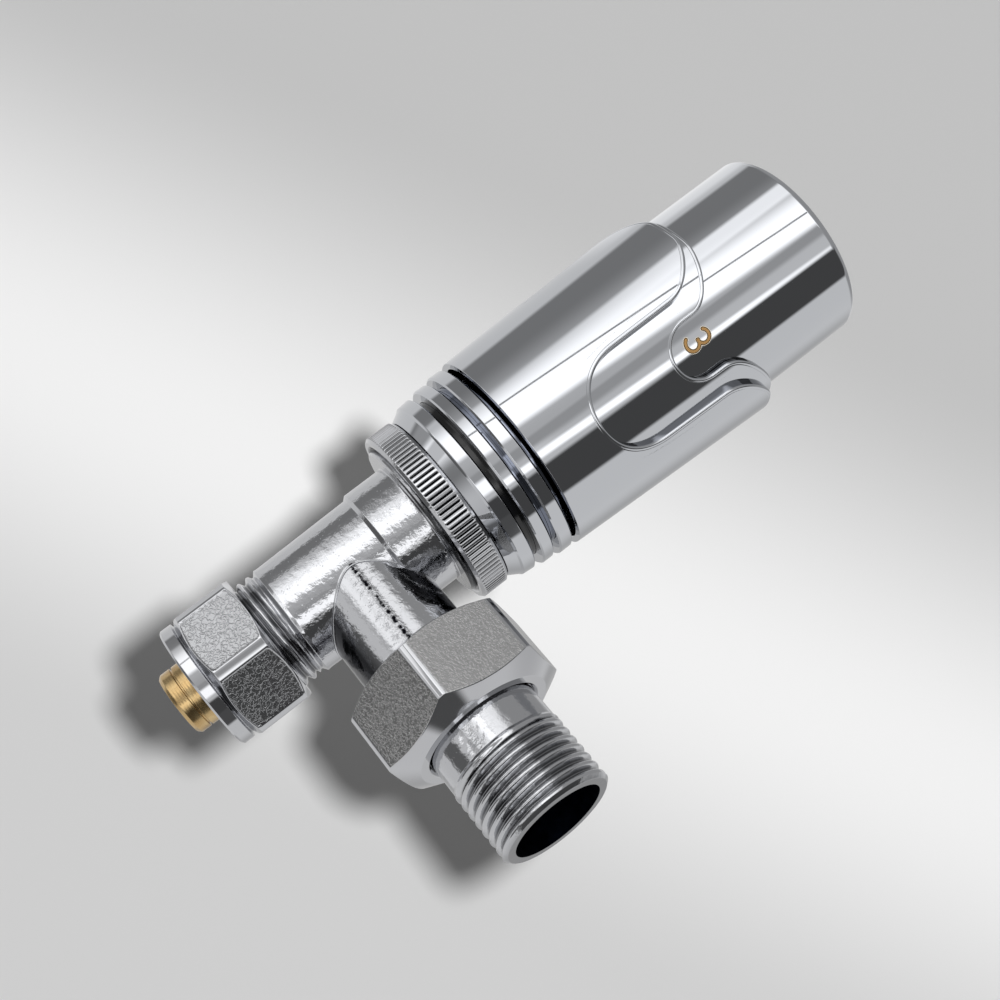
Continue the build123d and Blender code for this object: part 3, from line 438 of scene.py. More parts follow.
# Darker copy of the chrome plate: painted shade on the groove floors
PAINTED_SHADE_GROOVE_FLOOR = chrome_on_plastic("chrome_darkened_as_painted_shade_in_grooves", "#868B98")
WHITE = moulded_plastic("natural_acetal", "#E3E1DA", 0.38)
RUBBER = sealing_rubber()
STEEL = drawn_steel("drawn_stainless_steel", "#A9A9A7", 0.25)
COPPERED = drawn_steel("coppered_sensor_can", "#B98768", 0.3)
PAINTED_SHADE_BORE = bore_in_painted_shade()
DIGIT_GOLD = ink_and_painted_light("bronze_lacquer", "#B28A55", 0.4)
DIGIT_SHADOW_LINE = ink_and_painted_light("painted_shadow_line", "#1C1613", 0.4)
DIGIT_HIGHLIGHT_EDGE = ink_and_painted_light("painted_highlight_edge", "#F1E6D2", 0.5)

CAD_FINISHES = {
    "chromed_brass": TURNED_CHROME, "chromed_plastic": MIRROR, "brass": BRASS, "black_plastic": BLACK,
    "white_plastic": WHITE, "rubber": RUBBER, "spring_steel": STEEL, "copper_can": COPPERED,
}
for node_name, node_object in frame["nodes"].items():
    node_object.data.materials.clear()
    node_object.data.materials.append(CAD_FINISHES[SLOTS[node_name]])


# Head

def dial_cap():
    """Drum with a rounded end."""
    wall = 1.3
    inner = DIAL_R - wall
    corners = [(inner, DIAL_FOOT), (DIAL_R, DIAL_FOOT), (DIAL_R, DIAL_TOP, 1.5),
               (0.02, DIAL_TOP, 0.0), (0.02, DIAL_TOP - wall, 0.0), (inner, DIAL_TOP - wall, 1.0)]
    return wear(turned("dial_drum", corners), "dial_cap", MIRROR)


def window_edge(window, top, columns):
    """Edge of a sleeve round its three windows: angle and height of each point, evenly spaced along it."""
    half, flat = tan(radians(window["half"])), tan(radians(window["flat"]))
    floor_centre = window["floor"] + window["round"]
    quarter = np.linspace(0, pi / 2, 60)
    side = [(half * sin(a), floor_centre - window["round"] * cos(a)) for a in quarter]
    side += [(half, z) for z in np.linspace(floor_centre, window["shoulder"], 40)[1:]]
    side += [(flat - (flat - half) * cos(a), window["shoulder"] + (top - window["shoulder"]) * sin(a))
             for a in quarter[1:]]
    side = [(atan(t), z) for t, z in side]
    side += [(a, top) for a in np.linspace(side[-1][0], pi / LOBES, 20)[1:]]
    one = np.array([(-a, z) for a, z in side[::-1]] + side[1:])
    run = np.concatenate([[0], np.cumsum(np.hypot(np.diff(one[:, 0]) * LINER_TOP_R, np.diff(one[:, 1])))])
    even = np.linspace(0, run[-1], columns // LOBES, endpoint=False)
    angle, height = np.interp(even, run, one[:, 0]), np.interp(even, run, one[:, 1])
    turn = [radians(RECESS_ANGLE) + 2 * pi / LOBES * n for n in range(LOBES)]
    return np.concatenate([angle + a for a in turn]), np.tile(height, LOBES)


# A faint line beside a sleeve's edge: distance from the edge's rounding, depth and tilt of the surface there
FAINT_LINE = ((0.05, 0.0, 90), (0.13, 0.02, 108), (0.22, 0.035, 90), (0.31, 0.02, 72), (0.4, 0.0, 90),
              (0.9, 0.0, 90), (1.5, 0.0, 90))


def sleeve(name, window, top, low_r, high_r, inner_r, edge, columns=900):
    """Cone whose upper edge runs round the windows. inner_r gives the radius at the foot of its wall."""
    def radius_at(z):
        return low_r + (high_r - low_r) * (z - GRIP_FOOT) / (top - GRIP_FOOT)

    angle, height = window_edge(window, top, columns)
    lean = atan((high_r - low_r) / (top - GRIP_FOOT))
    step_a = (np.roll(angle, -1) - np.roll(angle, 1) + pi) % (2 * pi) - pi
    run_a, run_z = step_a * radius_at(height), np.roll(height, -1) - np.roll(height, 1)
    size = np.hypot(run_a, run_z)
    into_a, into_z = run_z / size, -run_a / size  # from the edge into the sleeve's wall, along its surface
    rows, normals = [], []

    def row(offset, drop, tilt):
        """Points at an offset into the wall and a drop below the outer surface. tilt 0 faces the window."""
        z = height + into_z * offset
        a = angle + into_a * offset / radius_at(height)
        r = radius_at(z) - drop
        rows.append(placed(r, a, z))
        radial = placed(cos(lean), a, -sin(lean))
        across = placed(into_a, a + pi / 2, into_z)
        normals.append(-across * cos(tilt) + radial * sin(tilt))

    wall = radius_at(height) - inner_r(height)
    row(0, wall, 0)
    row(0, edge, 0)
    for step in range(1, 7):
        a = pi / 2 * step / 6
        row(edge - edge * cos(a), edge - edge * sin(a), a)
    for offset, drop, tilt in FAINT_LINE:
        row(edge + offset, drop, radians(tilt))
    last_a = angle + into_a * (edge + offset) / radius_at(height)
    last_z = height + into_z * (edge + offset)
    even = radians(RECESS_ANGLE) - pi / LOBES + np.arange(columns) * 2 * pi / columns
    for share in np.linspace(0, 1, 20)[1:]:
        z = last_z + (GRIP_FOOT + EDGE - last_z) * share
        a = last_a + ((even - last_a + pi) % (2 * pi) - pi) * share
        rows.append(placed(radius_at(z), a, z))
        normals.append(placed(cos(lean), a, -sin(lean)))
    for step in range(1, 5):
        t = pi / 2 * step / 4
        rows.append(placed(low_r - EDGE + EDGE * cos(t), even, GRIP_FOOT + EDGE - EDGE * sin(t)))
        normals.append(placed(cos(t), even, -sin(t)))
    foot_r = inner_r(GRIP_FOOT)
    rows += [placed(foot_r, even, GRIP_FOOT), placed(foot_r, even, GRIP_FOOT + 0.5)]
    normals += [placed(0, even, -1), placed(-1, even, 0)]
    made = skin(name, rows[::-1], normals[::-1])
    in_wall = np.arange(len(made.data.polygons)) // columns == len(rows) - 2
    made.data.polygons.foreach_set("material_index", in_wall.astype(np.int32))
    return made


def grip():
    """Outer sleeve with lobes on an inner sleeve with notches."""
    def liner_r(z):
        return LINER_FOOT_R + (LINER_TOP_R - LINER_FOOT_R) * (z - GRIP_FOOT) / (LINER_TOP - GRIP_FOOT)

    shell = sleeve("lobed_sleeve", RECESS, LOBE_TOP, SHELL_FOOT_R, SHELL_TOP_R,
                   inner_r=lambda z: liner_r(z) - 0.02, edge=0.45)
    liner = sleeve("notched_sleeve", NOTCH, LINER_TOP, LINER_FOOT_R, LINER_TOP_R,
                   inner_r=lambda z: LINER_BORE_R, edge=0.4)
    wear(shell, "grip_shell", MIRROR, RECESS_WALL)
    wear(liner, "grip_liner", MIRROR, PAINTED_SHADE_NOTCH_WALL)


def trim_ring(name, node, foot, top, outer):
    """Chromed ring with small bevels."""
    bevel = 0.3
    corners = [(ON_CORE_R, foot), (outer - bevel, foot), (outer, foot + bevel),
               (outer, top - bevel), (outer - bevel, top), (ON_CORE_R, top)]
    return wear(turned(name, corners), node, MIRROR)


def base_cup():
    """Cone and band round the foot of the head."""
    bore_r, knee_r, band_r, bevel = 16.25, 17.85, 18.2, 0.3
    knee_z, ledge = CUP_FOOT + 2.0, CUP_FOOT + 2.05
    corners = [(bore_r, CUP_FOOT), (bore_r + 0.4, CUP_FOOT), (knee_r, knee_z, 0.3),
               (band_r, knee_z + 0.35, 0.3), (CUP_R, CUP_TOP - bevel), (CUP_R - bevel, CUP_TOP),
               (ON_CORE_R, CUP_TOP), (ON_CORE_R, ledge), (bore_r, ledge)]
    return wear(turned("cup_of_head", corners), "base_cup", MIRROR)


def head_core():
    """Black core with its guide tube. The floors of the grooves between the trim rings get a darker copy of
    the chrome plate, as painted shade.
    """
    step, shoulder, web, guide = CUP_FOOT + 2.1, 71.4, 67.4, 14.2
    neck_r, neck_bore_r, pin_r = 13.6, 10.6, 3.06
    tube_r, web_top = guide - 1.6, web + 2.6
    corners = [(neck_bore_r, CORE_FOOT), (neck_r, CORE_FOOT), (neck_r, step), (CORE_R, step),
               (CORE_R, LOWER_TRIM_FOOT + 0.5, 0.01), (CORE_R, shoulder), (guide, shoulder),
               (guide, CORE_TOP), (tube_r, CORE_TOP), (tube_r, web_top), (pin_r, web_top),
               (pin_r, web), (neck_bore_r, web)]
    core = turned("core_of_head", corners)
    middles = np.array([polygon.center[:] for polygon in core.data.polygons]) / MM
    # Painted shade: the groove floors take the darker chrome
    floor = (middles[:, 2] > LOWER_TRIM_FOOT) & (np.hypot(middles[:, 0], middles[:, 1]) > CORE_R - 0.1)
    core.data.polygons.foreach_set("material_index", floor.astype(np.int32))
    return wear(core, "head_core", GLOSS_BLACK, PAINTED_SHADE_GROOVE_FLOOR)


def coupling_ring():
    """Knurled ring: narrow grooves between ribs, plain bevelled bands at both ends."""
    band, bevel, hub_r, lip_r, lip = 0.7, 0.5, 15.8, 13.66, 1.15
    knurl_top = RING_TOP - 2.0
    groove, groove_share, fade = 0.5, 0.14, 14

    def ribs(radius, angle, along):
        """Grooves between the ribs, faded out at the bands."""
        from_foot = 1 + np.exp(-(along - RING_FOOT - band) * fade)
        to_top = 1 + np.exp((along - knurl_top + band) * fade)
        inside = (radius > RING_R - 1.2) / from_foot / to_top
        phase = (angle * RIBS / (2 * pi)) % 1 - 0.5
        cut = np.exp(-(phase / groove_share) ** 2)
        slope = cut * (-2 * phase / groove_share ** 2) * RIBS / (2 * pi)
        return radius - groove * cut * inside, 1 + 0 * radius, -groove * slope * inside, 0 * radius

    mouth, recess, thread = 15.9, 1.5, HEAD_THREAD_R + 0.08
    corners = [(mouth, RING_FOOT), (RING_R - bevel, RING_FOOT, 0.15), (RING_R, RING_FOOT + bevel, 0.15)]
    corners += [(RING_R, z, 0.01)
                for z in np.linspace(RING_FOOT + bevel + 0.25, knurl_top - bevel - 0.25, 16)]
    corners += [(RING_R, knurl_top - bevel, 0.15), (RING_R - bevel, knurl_top, 0.15), (hub_r, knurl_top),
                (hub_r, RING_TOP), (lip_r, RING_TOP), (lip_r, RING_TOP - lip),
                (thread, RING_TOP - lip), (thread, RING_FOOT + recess),
                (mouth - 0.3, RING_FOOT + 0.4, 0.2)]
    ring = turned("knurled_ring", corners, shape=ribs, columns=RIBS * 7)
    x, y, height = vertices(ring)
    away = np.hypot(x, y)
    on_side = (height > RING_FOOT + bevel + 0.2) & (height < knurl_top - bevel - 0.2) & (away > RING_R - 0.8)
    in_mouth = (away < mouth - 0.05) & (height < RING_FOOT + recess + 0.3)
    # Painted shade in the grooves between the ribs and inside the mouth
    mark(ring, "deep", on_side * np.clip((RING_R - away - 0.02) / 0.09, 0, 1) + in_mouth * 0.9)
    return wear(ring, "coupling_ring", KNURL_CHROME)


# Valve

def soft_least(a, b, width):
    """Smaller of two lengths with a rounded corner, and the slopes by each."""
    share = np.clip(0.5 + 0.5 * (b - a) / width, 0, 1)
    return b * (1 - share) + a * share - width * share * (1 - share), share, 1 - share


def from_flat(angle, corner_angle):
    """Angle from the middle of a hexagon's nearest flat. corner_angle is that of one corner, in degrees."""
    return (angle - radians(corner_angle)) % (pi / 3) - pi / 6


def hexagon(across_flats, corner_angle):
    """Shape of a nut's flats for turned(): it trims a turned profile to a hexagon."""
    def shape(radius, angle, along):
        bearing = from_flat(angle, corner_angle)
        flat = across_flats / 2 / np.cos(bearing)
        least, by_radius, by_flat = soft_least(radius, flat, 0.16)
        return least, by_radius, by_flat * flat * np.tan(bearing), 0 * radius
    return shape


def steps(start, end, size):
    """Values from start to end in equal steps of about a size."""
    return np.linspace(start, end, max(2, ceil(abs(end - start) / size)))


NUT_SLOPE = tan(radians(30))  # chamfer of a nut


def union_nut():
    """Hexagon whose corners are turned: the flats keep a satin skin between polished edges."""
    af, corner_r, corner_angle, end_r, lip, lip_r = 30.0, 17.0, 9.6, 12.6, 2.15, 10.5
    thread_r = UNION_THREAD_R + 0.08
    start_r = af / 2 - 0.35
    last = UNION_END - (corner_r - end_r) * NUT_SLOPE
    corners = [(thread_r, UNION_START), (start_r, UNION_START, 0.2)]
    corners += [(r, UNION_START + (r - start_r) * NUT_SLOPE, 0.01)
                for r in steps(start_r + 0.2, corner_r - 0.2, 0.12)]
    corners += [(corner_r, UNION_START + (corner_r - start_r) * NUT_SLOPE, 0.2)]
    corners += [(corner_r, x, 0.01) for x in steps(UNION_START + 2.0, last - 0.4, 0.5)]
    corners += [(corner_r, last, 0.2)]
    corners += [(r, UNION_END - (r - end_r) * NUT_SLOPE, 0.01)
                for r in steps(corner_r - 0.2, end_r + 0.2, 0.12)]
    corners += [(end_r, UNION_END, 0.2), (lip_r + 0.5, UNION_END, 0.2), (lip_r, UNION_END - 0.5, 0.2),
                (lip_r, UNION_END - lip), (thread_r, UNION_END - lip)]
    nut = turned("hexagon_of_union", corners, on_tail=True, shape=hexagon(af, corner_angle), columns=480)
    y, z = vertices(nut)[1:]
    z = z - TAIL_HEIGHT
    bearing = from_flat(np.arctan2(z, y), corner_angle)
    on_flat = np.abs(np.hypot(y, z) * np.cos(bearing) - af / 2) < 0.03
    from_edge = 8.02 - np.abs(af / 2 * np.tan(bearing))
    mark(nut, "pad", on_flat * np.clip((from_edge - 0.25) / 0.3, 0, 1))
    return wear(nut, "union_nut", UNION_CHROME)


def compression_nut():
    """Hexagon with sunk crinkled pads on its flats, a round collar at its mouth."""
    af, corner_r, collar_r, collar_h, corner_angle = 24.0, 13.35, 11.9, 2.6, -1.5
    mouth_r, cone_r, thread_r, thread_end = 8.15, 9.9, 10.56, BODY_FOOT - 0.05
    hexagon_foot = NUT_FOOT + collar_h
    face_r = af / 2 - 1.0
    half_flat = sqrt(corner_r ** 2 - (af / 2) ** 2)
    sink, border, turn = 0.17, 0.22, 0.5

    def pad(angle, along):
        """1 on a pad, 0 on its polished border."""
        across = np.abs(af / 2 * np.tan(from_flat(angle, corner_angle)))
        arch = (np.hypot(af / 2, across) - af / 2) * NUT_SLOPE
        low = hexagon_foot + (af / 2 - face_r) * NUT_SLOPE + border + arch
        side = across - half_flat + border
        end = np.maximum(low - along, along - (NUT_TOP - border - arch))
        away = np.hypot(np.maximum(side + turn, 0), np.maximum(end + turn, 0)) - turn
        away = away + np.minimum(np.maximum(side, end) + turn, 0)
        share = np.clip(0.5 - away / 0.35, 0, 1)
        return share * share * (3 - 2 * share)

    def shape(radius, angle, along):
        """Hexagon with the pads sunk in it."""
        least, by_radius, by_angle, by_place = hexagon(af, corner_angle)(radius, angle, along)
        on = (along > hexagon_foot + 0.5) & (radius > af / 2)
        tiny = 1e-4
        here = pad(angle, along) * on
        round_slope = (pad(angle + tiny, along) - pad(angle - tiny, along)) / (2 * tiny) * on
        along_slope = (pad(angle, along + tiny) - pad(angle, along - tiny)) / (2 * tiny) * on
        return least - sink * here, by_radius, by_angle - sink * round_slope, by_place - sink * along_slope

    def foot_cone(r):
        return hexagon_foot + (r - face_r) * NUT_SLOPE

    def top_cone(r):
        return NUT_TOP - (r - af / 2) * NUT_SLOPE

    corners = [(mouth_r, NUT_FOOT), (collar_r - 0.35, NUT_FOOT, 0.15), (collar_r, NUT_FOOT + 0.35, 0.15),
               (collar_r, hexagon_foot - 0.25, 0.1), (face_r, hexagon_foot, 0.1)]
    corners += [(r, foot_cone(r), 0.01) for r in steps(face_r + 0.2, corner_r - 0.15, 0.1)]
    corners += [(corner_r, foot_cone(corner_r), 0.15)]
    corners += [(corner_r, z, 0.01) for z in steps(foot_cone(corner_r) + 0.2, top_cone(corner_r) - 0.2, 0.18)]
    corners += [(corner_r, top_cone(corner_r), 0.15)]
    corners += [(r, top_cone(r), 0.01) for r in steps(corner_r - 0.15, af / 2 + 0.15, 0.1)]
    corners += [(af / 2, NUT_TOP, 0.15), (thread_r, NUT_TOP), (thread_r, thread_end),
                (cone_r, thread_end), (cone_r, 8.9), (mouth_r, 6.2)]
    nut = turned("hexagon_of_inlet", corners, shape=shape, columns=420)
    x, y, z = vertices(nut)
    angle = np.arctan2(y, x)
    near_flat = np.abs(np.hypot(x, y) * np.cos(from_flat(angle, corner_angle)) - af / 2) < 0.25
    mark(nut, "pad", pad(angle, z) * (near_flat & (z > hexagon_foot + 0.5)))
    return wear(nut, "compression_nut", INLET_CHROME)


def thread_form(start, end):
    """Shape of a right-hand pipe thread for turned(): rounded crests that fade out at both ends."""
    sharp = 1.35

    def shape(radius, angle, along):
        phase = along / PIPE_THREAD_PITCH - angle / (2 * pi)
        wave = (1 + np.cos(2 * pi * phase)) / 2
        cut = wave ** sharp
        slope = sharp * np.maximum(wave, 1e-4) ** (sharp - 1) * (-pi) * np.sin(2 * pi * phase)
        fade = np.clip((along - start) / 1.2, 0, 1) * np.clip((end - along) / 1.0, 0, 1)
        on = (radius > PIPE_THREAD_R - 0.4) * fade
        deep = PIPE_THREAD_DEPTH * on
        by_angle, by_place = deep * slope / (2 * pi), -deep * slope / PIPE_THREAD_PITCH
        return radius - deep * cut, 1 + 0 * radius, by_angle, by_place
    return shape


def valley(across, in_thread):
    """How much painted shade darkens the plate at a distance from a thread's axis: most at the bottom of the
    thread.
    """
    return in_thread * np.clip((PIPE_THREAD_R - across - 0.5) / 0.45, 0, 0.6)


def tail_pipe():
    """Flanged pipe with the radiator thread, bored through."""
    pipe_r, nose_r, bore_r, thread_start, thread_end = 10.25, 9.8, 8.35, 43.9, 56.4
    spigot_r, water_r, mouth_r, socket_r, socket_af = 7.76, 5.6, 6.95, 7.6, 12.0
    flange_end = UNION_END - 2.2
    flange_start = flange_end - 2.1
    corners = [(water_r, TAIL_START), (spigot_r, TAIL_START), (spigot_r, flange_start),
               (TAIL_FLANGE_R, flange_start), (TAIL_FLANGE_R, flange_end), (pipe_r, flange_end),
               (pipe_r, thread_start - 0.5, 0.5)]
    corners += [(PIPE_THREAD_R, x, 0.01) for x in steps(thread_start, thread_end, 0.1)]
    corners += [(nose_r, TAIL_END, 0.25), (bore_r, TAIL_END, 0.3)]
    outside = turned("threaded_pipe", corners, on_tail=True, closed=False,
                     shape=thread_form(thread_start, thread_end), columns=256)
    outside.data.materials.append(THREAD_CHROME)
    x, y, z = vertices(outside)
    # Painted shade in the thread's valleys
    mark(outside, "deep", valley(np.hypot(y, z - TAIL_HEIGHT), x > thread_start))
    socket_end = TAIL_END - 12
    corners = [(bore_r, TAIL_END, 0), (bore_r, socket_end, 0.3), (mouth_r, socket_end),
               (mouth_r, socket_end - 0.2)]
    mouth = turned("mouth_of_tail", corners, on_tail=True, closed=False)
    corners = [(socket_r, socket_end), (socket_r, socket_end - 10), (water_r, socket_end - 10),
               (water_r, TAIL_START, 0)]
    socket = turned("key_socket", corners, on_tail=True, closed=False, shape=hexagon(socket_af, 0.0))
    # The bore and the key socket take the painted shade
    for piece in (mouth, socket):
        piece.data.materials.append(PAINTED_SHADE_BORE)
    return wear(joined("tail_pipe_threaded", [outside, mouth, socket]), "tail_pipe")


def valve_body():
    """Forging: inlet thread, barrel, collar and head thread in one turning, with the branch set on it."""
    barrel_foot, barrel_top, collar_r, collar_z, neck = 10.6, 11.05, 11.65, 43.65, 51.5
    relief, relief_r = 22.3, 9.8
    inlet_r, inlet_end, water_r, seat_r = 7.04, 17.1, 6.0, 4.8
    seat_top, seat_foot, chamber_r, chamber_floor = 30.0, 27.8, 8.4, 29.0
    insert_r, insert_floor = 9.58, 46.0
    corners = [(inlet_r, BODY_FOOT), (PIPE_THREAD_R - 0.5, BODY_FOOT)]
    corners += [(PIPE_THREAD_R, z, 0.01) for z in steps(BODY_FOOT + 0.5, relief, 0.1)]
    corners += [(relief_r, relief + 0.35, 0.15), (relief_r, relief + 0.6, 0.15),
                (barrel_foot + 0.1, relief + 1.3, 0.2), (barrel_foot, relief + 1.9, 0.2),
                (barrel_top - 0.1, collar_z - 0.55, 0.15), (collar_r, collar_z + 0.15, 0.2),
                (collar_r, neck, 0.25), (HEAD_THREAD_R - 0.3, neck, 0.2), (HEAD_THREAD_R, neck + 0.3, 0.1),
                (HEAD_THREAD_R, BODY_TOP),
                (insert_r, BODY_TOP), (insert_r, insert_floor), (chamber_r, insert_floor),
                (chamber_r, chamber_floor), (seat_r + 1, chamber_floor), (seat_r + 1, seat_top),
                (seat_r, seat_top), (seat_r, seat_foot), (water_r, seat_foot - 1),
                (water_r, inlet_end), (inlet_r, inlet_end)]
    barrel = turned("barrel", corners, shape=thread_form(BODY_FOOT + 0.3, relief + 0.6), columns=256)
    x, y, z = vertices(barrel)
    across = np.hypot(x, y)
    # Painted shade: in the inlet thread's valleys, and on the step under the coupling ring towards the branch
    under_ring = (np.abs(z - neck) < 0.8) & (across > collar_r + 0.15)
    branch_side = np.clip((x + 4) / 12, 0, 0.9)
    mark(barrel, "deep", valley(across, (z < relief) & (across > 9.0)) + under_ring * branch_side)
    return wear(joined("forged_body", [barrel, branch_skin(barrel_r=11.0)]), "valve_body", FORGED)


def branch_skin(barrel_r):
    """Side branch from its crease on the barrel to the union thread."""
    branch_r, drop, shoulder, bore, inside_r = 10.2, 0.8, 24.0, 7.8, 9.3
    start, thread_start = 6.5, shoulder - 0.6
    seam_angle, seam_width = 179.0, 0.6
    dark_side, dark_reach = 262.0, 40.0  # the flank darkened with painted shade, in degrees round the branch
    angle = np.linspace(0, 2 * pi, ROUND, endpoint=False)
    across = branch_r * np.cos(angle)
    crease = np.sqrt(np.maximum(barrel_r ** 2 - across ** 2, 0.0))
    rows = [placed(branch_r, angle, crease + (shoulder - crease) * share, True)
            for share in np.linspace(-0.12, 1, 16)]
    centre = np.array((0, 0, TAIL_HEIGHT - drop))
    outer = skin("branch", rows + centre, [placed(1, angle, 0, True)] * len(rows))
    from_seam = (angle - radians(seam_angle)) * branch_r
    mark(outer, "seam", np.tile(np.exp(-(from_seam / seam_width) ** 2), len(rows)))
    from_side = np.abs((np.degrees(angle) - dark_side + 180) % 360 - 180)
    # Painted shade on that flank
    mark(outer, "deep", np.tile(np.clip((dark_reach + 8 - from_side) / 16, 0, 0.9), len(rows)))
    corners = [(bore, start), (inside_r, start), (inside_r, thread_start),
               (UNION_THREAD_R, thread_start), (UNION_THREAD_R, BRANCH_FACE), (bore, BRANCH_FACE)]
    inner = turned("union_thread", corners, on_tail=True)
    return joined("branch", [outer, inner, flash(branch_r, barrel_r, centre)])


def flash(branch_r, barrel_r, centre):
    """Raised line that the forging dies left where the branch meets the barrel."""
    size, proud = 0.17, 0.06
    angle = np.linspace(0, 2 * pi, ROUND, endpoint=False)
    across = branch_r * np.cos(angle)
    middle = placed(branch_r, angle, np.sqrt(barrel_r ** 2 - across ** 2), True) + centre
    out = middle * (1, 1, 0) / barrel_r + placed(1, angle, 0, True)
    out /= np.linalg.norm(out, axis=1, keepdims=True)
    run = np.roll(middle, -1, 0) - np.roll(middle, 1, 0)
    run /= np.linalg.norm(run, axis=1, keepdims=True)
    side = np.cross(run, out)
    turns = np.linspace(0, 2 * pi, 13)
    normals = np.array([out * cos(t) - side * sin(t) for t in turns])
    return skin("flash", (middle + out * proud) + size * normals, normals)


def pipe_nozzle():
    """Brass nozzle with a stop groove near its foot and a seal groove in the body."""
    bore_r, pipe_r, flange_foot, flange_top = 4.5, 6.0, BODY_FOOT - 1.15, BODY_FOOT - 0.05
    stop, stop_depth = 2.4, 0.45
    seal_r, seal_floor_r, seal_foot, seal_top = 7.0, 5.9, BODY_FOOT + 1.82, BODY_FOOT + 2.98
    corners = [(bore_r, NOZZLE_FOOT), (5.45, NOZZLE_FOOT, 0.15), (pipe_r, NOZZLE_FOOT + 0.6, 0.2),
               (pipe_r, stop, 0.06), (pipe_r - stop_depth, stop + 0.05, 0.05),
               (pipe_r - stop_depth, stop + 0.35, 0.05), (pipe_r, stop + 0.4, 0.06), (pipe_r, flange_foot),
               (NOZZLE_FLANGE_R, flange_foot), (NOZZLE_FLANGE_R, flange_top),
               (seal_r, flange_top), (seal_r, seal_foot), (seal_floor_r, seal_foot),
               (seal_floor_r, seal_top), (seal_r, seal_top), (seal_r, NOZZLE_TOP),
               (bore_r, NOZZLE_TOP)]
    return wear(turned("turned_nozzle", corners), "pipe_nozzle", BRASS)


# Numbers on the drum

def arc(x, y, rx, ry, start, end, count=28):
    """Points on an ellipse, angles in degrees."""
    return [(x + rx * cos(radians(a)), y + ry * sin(radians(a))) for a in np.linspace(start, end, count)]


# Strokes of each number in a box of this width and a height of 1
DIGIT_WIDTH = 0.62
DIGITS = {
    0: [arc(0.31, 0.5, 0.27, 0.46, 0, 360, 60)],
    1: [[(0.12, 0.78), (0.36, 0.96), (0.36, 0.04)]],
    2: [arc(0.31, 0.7, 0.25, 0.26, 165, -35) + [(0.06, 0.05), (0.58, 0.05)]],
    3: [arc(0.29, 0.73, 0.24, 0.23, 145, -90), arc(0.29, 0.28, 0.27, 0.24, 90, -150)],
    4: [[(0.42, 0.04), (0.42, 0.96), (0.04, 0.3), (0.6, 0.3)]],
    5: [[(0.54, 0.95), (0.14, 0.95), (0.09, 0.52)] + arc(0.28, 0.32, 0.27, 0.27, 135, -145)],
}


def stroke(name, path, middle, width, lift, material):
    """Flat raised line with round ends on the drum. The path is in digit heights from the lower left."""
    points = np.array(path) * DIGIT_HEIGHT
    points[:, 0] -= DIGIT_WIDTH / 2 * DIGIT_HEIGHT
    run = np.gradient(points, axis=0)
    run /= np.linalg.norm(run, axis=1, keepdims=True)
    side = np.stack([-run[:, 1], run[:, 0]], -1)
    caps = [(sin(radians(t)), -cos(radians(t)), 0) for t in range(10, 90, 16)]
    body_rows = [(points[0], run[0], side[0], c[0], c[1]) for c in caps]
    body_rows += [(points[n], run[n], side[n], 1.0, 0.0) for n in range(len(points))]
    body_rows += [(points[-1], run[-1], side[-1], c[0], -c[1]) for c in caps[::-1]]
    section = [(-1.0, 0.0), (-0.92, 0.8), (-0.7, 1.0), (0.7, 1.0), (0.92, 0.8), (1.0, 0.0)]
    rows, normals = [], []
    for place, forward, across, share, cap in body_rows:
        line, facing = [], []
        for u, v in section:
            flat = place + forward * cap * width / 2 + across * u * width / 2 * share
            angle = middle + flat[0] / DIAL_R
            r = DIAL_R - 0.02 + lift * v
            line.append((r * cos(angle), r * sin(angle), DIGIT_FOOT + flat[1]))
            facing.append((cos(angle), sin(angle), 0.0))
        rows.append(line)
        normals.append(facing)
    made = skin(name, rows[::-1], normals[::-1], around=False)
    made.data.materials.append(material)
    return made


# Each stroke's layers: width and height above the drum, in millimetres
# The line layer is painted shadow and the edge layer painted highlight
INKS = (("edge", 0.98, 0.03, DIGIT_HIGHLIGHT_EDGE), ("line", 0.78, 0.045, DIGIT_SHADOW_LINE), ("fill", 0.5, 0.06, DIGIT_GOLD))


def numbers():
    """The numbers 0 to 5, bronze lacquer with a dark line of painted shadow and a pale edge of painted
    highlight round it.
    """
    parts = []
    for digit, paths in DIGITS.items():
        middle = radians(DIGIT_ANGLE + DIGIT_PITCH * (digit - 3))
        for n, path in enumerate(paths):
            for layer, width, lift, ink in INKS:
                parts.append(stroke(f"{layer}_{digit}_{n}", path, middle, width, lift, ink))
    whole = joined("dial_numbers", parts)
    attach(whole, body_of["dial_cap"])


# Studio

# The camera's place in the frame, in millimetres, and its axes, all fitted to the photograph
CAMERA_PLACE = Vector((121.27, -226.55, 23.48))
CAMERA_RIGHT = Vector((0.599717, 0.161877, 0.783668))
CAMERA_UP = Vector((-0.663474, -0.446920, 0.600054))
CAMERA_AHEAD = Vector((-0.447372, 0.879806, 0.160625))


def place_camera():
    """Camera where the photograph was taken from, with its roll."""
    data = bpy.data.cameras.new("camera")
    data.sensor_width = 36.0
    data.lens = 53.056
    data.clip_start, data.clip_end = 0.01, 10.0
    camera = in_scene("camera", data)
    turn = Matrix((CAMERA_RIGHT, CAMERA_UP, -CAMERA_AHEAD)).transposed().to_4x4()
    camera.matrix_world = Matrix.Translation(CAMERA_PLACE * MM) @ turn
    bpy.context.scene.camera = camera


